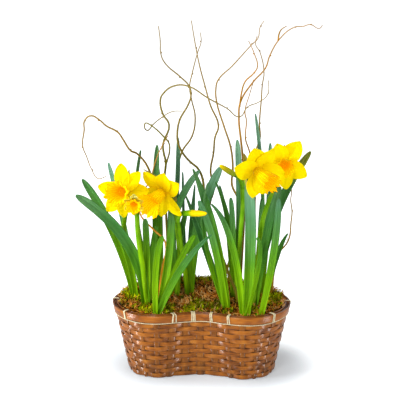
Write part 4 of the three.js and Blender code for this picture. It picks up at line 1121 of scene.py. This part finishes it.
def makeSheath(shoot):
    # the flattened tube of the leaf bases, from the bulb's neck up to where the leaves part
    (bulbX, bulbY), (exitX, exitY) = shoot["bulb"], shoot["exit"]

    def place(u, v):
        z = mix(sheathForm["from"], sheathForm["to"], v)
        lean = ease((z - 60) / 23)
        angle = fullTurn * u
        r = sheathForm["radius"] * (1 - 0.12 * v + 0.06 * math.sin(3 * angle))
        return (bulbX + (exitX - bulbX) * lean + r * 1.1 * math.cos(angle),
                bulbY + (exitY - bulbY) * lean + r * 0.8 * math.sin(angle), z)

    tube = wrapGrid("sheath", 20, 10, place)
    thicken(tube, sheathForm["thick"], -1)
    smoothOut(tube)
    return mark(tube, "tone", 0.3)


def makeBulb(shoot):
    bulb = turnedForm("bulb", bulbRings, (*shoot["bulb"], 0), (0, 0, 1), sides=14)
    smoothOut(bulb)
    return mark(bulb, "tone", 0.5)


def makeStem(route, radii):
    return mark(tubeAlong("stem", route, radii, sides=12, steps=8), "tone", 0.9)


def bloomFrame(bloom):
    out = Vector(bloom["facing"]).normalized()
    up = (Vector((0, 0, 1)) - out * out.z).normalized()
    return Vector(bloom["centre"]), out, up, up.cross(out)


def bloomRoute(bloom, shoot):
    # up from the sheath and through a crook into the back of the bloom
    centre, out = bloomFrame(bloom)[:2]
    crook, neck, end = [centre - out * distance * bloom["size"] for distance in (25, 20, 11.3)]
    below = crook + Vector((-4 * out.x, -4 * out.y, -12)) * bloom["size"]
    return [Vector((*shoot["exit"], stemForm["foot"])), *[Vector(p) for p in bloom["stem"]],
            below, crook, neck, end]


def makeBloomStem(bloom, shoot):
    route = bloomRoute(bloom, shoot)
    last = len(route) - 1
    stout, slim = stemForm["radii"]
    stem = makeStem(route, [mix(stout, slim, k / last) for k in range(last)] + [slim * bloom["size"]])
    ovary = turnedForm("ovary", ovaryRings, (0, 0, 0), (0, 0, 1), sides=12)
    out, up, right = bloomFrame(bloom)[1:]
    turn = Matrix((right, up, out)).transposed().to_4x4()
    ovary.data.transform(Matrix.Translation(tuple(route[-2] * mm)) @ turn @ Matrix.Scale(bloom["size"], 4))
    smoothOut(ovary)
    return joinAll([stem, mark(ovary, "tone", 0.9)], "stem")


def makeSpathe(bloom, shoot):
    # the dry sheath that the bud broke out of: it clasps the stem below the bend, split open above
    route = bloomRoute(bloom, shoot)
    foot, bend = route[-5].lerp(route[-4], 0.6), route[-4].lerp(route[-3], 0.8)
    tip, wide = Vector(bloom["spathe"][0]), bloom["spathe"][1]
    out = bloomFrame(bloom)[1]

    def place(u, v):
        at = foot.lerp(bend, v).lerp(bend.lerp(tip, v), v)
        way = (bend - foot).lerp(tip - bend, v).normalized()
        side = way.cross(out).normalized()
        over = side.cross(way)
        opening = ease(v * 1.4)
        r = mix(stemForm["radii"][0], wide, ease(v * 1.6)) * (1 - max(0, (v - 0.6) / 0.4) ** 1.6 * 0.92)
        angle = (u - 0.5) * mix(5.6, 1.9, opening)
        return at - over * (math.cos(angle) - 0.75 * opening) * r + side * math.sin(angle) * r

    piece = wrapGrid("spathe", 12, 18, place)
    thicken(piece, 0.35)
    smoothOut(piece)
    return mark(piece, "tone", 0.5)


def makeBudStem(bud, shoot):
    base, point = Vector(bud["base"]), Vector(bud["point"])
    route = [Vector((*shoot["exit"], stemForm["foot"])), *[Vector(p) for p in bud["stem"]],
             base + (base - point).normalized() * 4, base]
    last = len(route) - 1
    radii = [mix(*stemForm["budRadii"], k / last) for k in range(last)] + [bud["radius"] * 0.8]
    return makeStem(route, radii)


for index, shoot in enumerate(shoots):
    roll = random.Random(index)
    greens = []
    for leaf in shoot["leaves"]:
        piece = makeLeaf(shoot, leaf, roll.uniform(0, 1))
        bloomy = roll.random() < leafForm["bloomy"][leaf[1][2] > leafForm["tall"]]
        skin = oliveLeafSkin if "aged" in leaf else paleLeafSkin if bloomy else leafSkin
        greens.append(dress(piece, skin))
    greens.append(dress(makeSheath(shoot), leafSkin))
    greens.append(dress(makeBulb(shoot), bulbSkin))
    for bloom in blooms:
        if bloom["shoot"] == shoot["name"]:
            greens.append(dress(makeBloomStem(bloom, shoot), stemSkin))
            greens.append(dress(makeSpathe(bloom, shoot), spatheSkin))
    for bud in buds:
        if bud["shoot"] == shoot["name"]:
            greens.append(dress(makeBudStem(bud, shoot), stemSkin))
    whole = joinAll(greens, "shoot_" + str(index + 1))
    handIn(whole, shoot["name"])
print("shoots ready")


# the blooms

petalForm = {
    "reach": (3, 38), "half": 13.3, "curl": 1.7, "keel": 0.7, "bow": 1.5, "thick": 0.55,
    "places": [0, 0.15, 0.38, 0.58, 0.76, 0.89, 0.96, 1],
    "widths": [0.48, 0.82, 1, 0.95, 0.75, 0.47, 0.25, 0.05],
    # the outer whorl and the inner one: how far behind the centre, and how wide
    "whorls": ((2.6, 1.03), (0.9, 0.95)),
    # a young bloom has opened less than this; its tepals are this much narrower, its trumpet this much
    # smaller and that far forward
    "young": 45, "youngWidth": 0.66, "youngTrumpet": 0.85, "youngSeat": 4,
    # tepals that grew longer or wider than the rest: (length, width)
    "odd": {("bloom_1", 0): (1.05, 1.0), ("bloom_4", 1): (1.14, 1.1), ("bloom_4", 0): (1.05, 1.0),
            ("bloom_3", 3): (1.06, 0.92), ("bloom_5", 0): (1.06, 1.1), ("bloom_5", 1): (0.86, 1.0)},
}
trumpetForm = {
    "length": 35.5, "heights": [0, 6, 12, 18, 25, 30, 33.5, 35.5], "radii": [6.5, 7.4, 8.5, 9.7, 11.2],
    "lip": [0.3, 0.66, 1],  # how far the last three have opened to the mouth's radius
    "pleats": 11, "pleatDepth": 0.15, "frill": 2.0, "thick": 0.5,
    "bottom": [(0.2, 6.3), (0.9, 6.3)],
    # six stamens round a longer style: reach, and the rings of an anther and of the stigma
    "ring": 2.6, "stamen": 10, "style": 15,
    "anther": [(-3, 0.3), (-2, 0.75), (1, 0.85), (3, 0.65), (3.8, 0.2)],
    "stigma": [(0, 0.4), (0.8, 1.1), (1.6, 1.2), (2.2, 0.6)],
}


def makePetal(bloom, k, roll):
    centre, out, up, right = bloomFrame(bloom)
    size, young = bloom["size"], bloom["open"][k] < petalForm["young"]
    radial = spoke(right, up, math.radians(bloom["petals"][k]))
    side = out.cross(radial)
    lie = math.radians(bloom["open"][k])
    outward, forward = math.sin(lie), math.cos(lie)
    setBack, share = petalForm["whorls"][k % 2]
    middle = centre - out * setBack * size
    normal = out * outward - radial * forward
    longer, wider = petalForm["odd"].get((bloom["name"], k), (1, 1))
    wide = petalForm["half"] * (petalForm["youngWidth"] if young else 1) * share * wider * bloom["wide"]
    width = curveOf(petalForm["places"], petalForm["widths"])
    first, last = petalForm["reach"]
    phase, ripple = roll.uniform(0, 6), roll.uniform(0.5, 1.2)
    twist, droop = roll.uniform(-0.2, 0.2), roll.uniform(-1.5, 2.0)

    def place(u, v):
        t = 1 - (1 - v) ** 1.3
        across = 2 * u - 1
        past = (last * longer - first) * t
        half = wide * width(t)
        fold = petalForm["curl"] * (abs(across) ** 1.6) * min(1, t * 4)
        keel = -petalForm["keel"] * math.exp(-(across * 5) ** 2) * math.sin(math.pi * t)
        wave = ripple * across * math.sin(5.5 * t + phase) * (0.3 + abs(across))
        bow = petalForm["bow"] * math.sin(math.pi * t) - droop * t * t
        rise = fold + keel + wave + bow + twist * across * half * t
        return (middle + radial * (first + past * outward) * size + out * past * forward * size
                + side * across * half * size + normal * (rise - 0.45) * size)

    piece = wrapGrid("petal", 12, 16, place)
    thicken(piece, petalForm["thick"])
    smoothOut(piece)
    return mark(piece, "young", (0.85 if k == 0 else 0.2) if young else 0)


def makeTube(bloom):
    # the floral tube behind the petals, green-gold where it leaves the ovary
    centre, out, up, right = bloomFrame(bloom)
    seat = petalForm["youngSeat"] if bloom["open"][0] < petalForm["young"] else 0
    size = bloom["size"]

    def place(u, v):
        along = mix(-11, seat / size - 0.4, v)
        angle = fullTurn * u
        r = mix(3.1, 6.9, v ** 1.3) * (1 + 0.03 * math.cos(6 * angle))
        return centre + out * along * size + spoke(right, up, angle) * r * size

    tube = wrapGrid("tube", 24, 8, place)
    thicken(tube, 0.8 * size, -1)
    smoothOut(tube)
    return mark(tube, "young", 0.25)


def makeTrumpet(bloom, roll):
    centre, out, up, right = bloomFrame(bloom)
    young = bloom["open"][0] < petalForm["young"]
    size = bloom["size"] * (petalForm["youngTrumpet"] if young else 1)
    base = centre + out * ((petalForm["youngSeat"] if young else 0) + 0.3)
    throat, mouth, length = trumpetForm["radii"][-1], bloom["mouth"] / size, trumpetForm["length"]
    profile = curveOf(trumpetForm["heights"],
                      trumpetForm["radii"] + [mix(throat, mouth, share) for share in trumpetForm["lip"]])
    start = roll.uniform(0, 6)

    def place(u, v):
        angle = fullTurn * u
        height = length * (1 - (1 - v) ** 1.15)
        flare = height / length
        pleat = trumpetForm["pleats"] * angle + start
        ruffle = 0.45 * math.cos(pleat) + 0.55 * math.cos(6 * angle + 2 * start)
        r = profile(height) * (1 + trumpetForm["pleatDepth"] * flare ** 2 * ruffle
                               + 0.022 * flare * math.cos(31 * angle + start))
        lip = trumpetForm["frill"] * flare ** 4 * (math.cos(pleat + 0.9) + 0.6 * math.cos(29 * angle + 2)
                                                   + 0.5 * math.cos(5 * angle))
        return base + out * (height + lip) * size + spoke(right, up, angle) * r * size

    bell = wrapGrid("bell", 120, 16, place)
    dress(bell, trumpetOuter, trumpetInner)
    thicken(bell, trumpetForm["thick"], -1, material_offset=1)
    shadeSmooth(bell)
    bottom = [(a * size, b * size) for a, b in trumpetForm["bottom"]]
    bottom = turnedForm("bottom", bottom, base, out, sides=24)
    parts = [bell, dress(bottom, trumpetInner)]
    for k in range(7):
        style = k == 6  # the last one, in the middle
        aside = spoke(right, up, k * math.pi / 3 + start)
        ring = 0 if style else trumpetForm["ring"]
        reach = (trumpetForm["style"] if style else trumpetForm["stamen"] + 1.5 * (k % 2)) * size
        foot = base + out * 0.5 * size + aside * ring * size
        head = foot + out * reach + aside * ring * 0.25 * size
        filament = tubeAlong("filament", [foot, foot.lerp(head, 0.5), head],
                             [0.7 * size, 0.5 * size, 0.45 * size], sides=6, steps=3)
        swell = trumpetForm["stigma" if style else "anther"]
        knob = turnedForm("knob", [(a * size, b * size) for a, b in swell], head, out, sides=8)
        smoothOut(knob)
        parts += [dress(filament, trumpetInner), dress(knob, pollen)]
    return joinAll(parts, bloom["name"] + "_corona")


for index, bloom in enumerate(blooms):
    roll = random.Random(40 + index)
    tepals = [makePetal(bloom, k, roll) for k in range(6)] + [makeTube(bloom)]
    ring = joinAll(tepals, bloom["name"] + "_tepals")
    dress(ring, tepalSkin)
    handIn(ring, bloom["name"] + "_petals")
    handIn(makeTrumpet(bloom, roll), bloom["name"] + "_trumpet")
print("blooms ready")


def makeBud(bud):
    base, point = Vector(bud["base"]), Vector(bud["point"])
    way = (point - base).normalized()
    across = way.orthogonal().normalized()
    over = way.cross(across)

    def place(u, v):
        angle = fullTurn * u
        swell = math.sqrt(max(0.0, math.sin(math.pi * (0.2 + 0.77 * v)))) if v < 0.999 else 0.06
        r = bud["radius"] * swell * (1 + 0.07 * math.cos(3 * angle + 4 * v))
        return base.lerp(point, v) + way * 0.3 * (1 - v) + spoke(across, over, angle) * r

    body = wrapGrid(bud["name"] + "_body", 18, 16, place)
    # both ends are closed with a face
    editAll(body)
    bpy.ops.mesh.select_all(action="DESELECT")
    bpy.ops.mesh.select_non_manifold()
    bpy.ops.mesh.edge_face_add()
    bpy.ops.object.mode_set(mode="OBJECT")
    smoothOut(body)
    return dress(body, budSkin(bud["name"] + "Skin", bud["colours"]))


for bud in buds:
    handIn(makeBud(bud), bud["name"])
print("buds ready")


# the curly willow

twigForm = {"root": 52, "soilTop": 84, "stout": 1.4, "forkStout": 0.7}
nubRings = [(0, 0.5), (0.9, 0.75), (1.9, 0.5), (2.7, 0.12)]


def makeTwig(points, thick, tone):
    steps = [0.0]
    for a, b in zip(points, points[1:]):
        steps.append(steps[-1] + math.dist(a, b))
    shares = [s / steps[-1] for s in steps]
    radii = [mix(thick[0] * twigForm["stout"], thick[1], share ** 1.5) / 2 for share in shares]
    twig = tubeAlong("twig", points, radii, sides=8, steps=5)
    # how far up the twig each point is, for the bark's greying
    spots = np.array(points) * mm
    reach = [shares[int(np.argmin(((spots - np.array(vertex.co)) ** 2).sum(axis=1)))]
             for vertex in twig.data.vertices]
    parts = [mark(mark(twig, "reach", reach), "tone", tone)]
    # a small pointed bud at each joint, on alternate sides
    for k in range(3, len(points) - 1, 2):
        way = (Vector(points[k + 1]) - Vector(points[k])).normalized()
        out = way.orthogonal().normalized() * (1 if k % 4 == 3 else -1)
        seat = Vector(points[k]) + out * radii[k] * 0.8
        nub = turnedForm("nub", nubRings, seat, way * 0.85 + out * 0.5, sides=6)
        parts.append(mark(mark(nub, "reach", shares[k]), "tone", min(1, tone + 0.15)))
    return joinAll(parts, "twig")


for twig in twigs:
    stout, slim = twig["thick"]
    x, y, z = twig["route"][0]
    rooted = [(x, y, twigForm["root"]), (x, y, twigForm["soilTop"])] + twig["route"]
    grown = [makeTwig(rooted, (stout, slim), twig["tone"])]
    grown += [makeTwig(fork, (slim + twigForm["forkStout"], slim), twig["tone"]) for fork in twig["forks"]]
    whole = joinAll(grown, "curly_" + twig["name"])
    shadeSmooth(whole, 50)
    dress(whole, bark)
    handIn(whole, twig["name"])
print("willow ready")


# the studio

studio = {
    "target": (-2.0, -0.1, 246), "distance": 1500, "azimuth": 3, "elevation": 15, "lens": 98.6,
    "world": 0.32,
    # soft boxes: place in metres, width and height, watts
    "lamps": {
        "leftStrip": ((-1.5, -0.65, 0.25), (0.3, 0.5), 22),
        "rightStrip": ((1.35, -0.85, 0.25), (0.15, 0.5), 10),
        "frontTop": ((-0.6, -2.0, 1.6), (0.9, 0.8), 24),
        "overhead": ((-0.6, -0.4, 2.2), (0.9, 0.9), 22),
        "backFill": ((0.6, 2.2, 1.6), (2.0, 1.2), 10),
    },
}
bpy.ops.mesh.primitive_plane_add(size=30)
floor = bpy.context.object
floor.name = "floor"


def paperFloor():
    # matt white paper that glows white to the horizon, with a painted shadow in a strip round the basket
    material, add = newMaterial("whitePaper", Roughness=0.9, Specular_IOR_Level=0.1,
                                Emission_Color=(1, 1, 1, 1))
    place = add("TexCoord").outputs["Object"]
    tooth = add("TexNoise", {"Vector": place, "Scale": 900.0, "Detail": 2.0})
    # how far off the basket's foot: the distance from a line 120 mm long through its two lobes, a little
    # to the right and behind, where the painted shadow falls
    parts = add("SeparateXYZ", {"Vector": place}).outputs
    held = add("Clamp", {"Value": parts["X"], "Min": -0.054, "Max": 0.066})
    past = add("Math", {0: parts["X"], 1: held}, operation="SUBTRACT")
    behind = add("Math", {0: parts["Y"], 1: 0.01}, operation="SUBTRACT")
    apart = add("CombineXYZ", {"X": past, "Y": behind})
    reach = add("VectorMath", {0: apart}, operation="LENGTH")
    # painted shadow: the glow is dimmed near the basket's foot
    paintedGlow = add("MapRange", {"Value": reach, "From Min": 0.052, "From Max": 0.14, "To Min": 0.24,
                            "To Max": 0.95}, interpolation_type="SMOOTHSTEP")
    # only the camera sees this glow in full: less of it reaches the basket from below
    seen = add("MapRange", {"Value": add("LightPath").outputs["Is Camera Ray"],
                            "To Min": 0.3, "To Max": 1.0})
    shown = add("Math", {0: paintedGlow, 1: seen}, operation="MULTIPLY")
    colour = add("ValToRGB", {"Fac": tooth}, stops=[(0.3, "#C2CAD0"), (0.7, "#C8D0D6")])
    return setShader(material, {"Base Color": colour, "Emission Strength": shown})


dress(floor, paperFloor())

world = bpy.data.worlds.new("studioWhite")
scene.world = world
world.use_nodes = True
connect(world.node_tree.nodes["Background"], {"Color": (1, 1, 1, 1), "Strength": studio["world"]})

for name, (place, (wide, high), watts) in studio["lamps"].items():
    bpy.ops.object.light_add(type="AREA", location=place)
    lamp = bpy.context.object
    lamp.name = name
    lamp.data.shape = "RECTANGLE"
    lamp.data.size, lamp.data.size_y = wide, high
    lamp.data.energy = watts
    lamp.rotation_euler = (Vector((0, 0, 0.2)) - Vector(place)).to_track_quat("-Z", "Y").to_euler()

turn, tilt = math.radians(studio["azimuth"]), math.radians(studio["elevation"])
aim = Vector(studio["target"]) * mm
away = Vector((math.sin(turn) * math.cos(tilt), -math.cos(turn) * math.cos(tilt), math.sin(tilt)))
bpy.ops.object.camera_add(location=aim + away * studio["distance"] * mm)
camera = bpy.context.object
camera.rotation_euler = (-away).to_track_quat("-Z", "Y").to_euler()
camera.data.lens = studio["lens"]
camera.data.sensor_width = 36
camera.data.clip_end = 50
scene.camera = camera
print("studio ready")
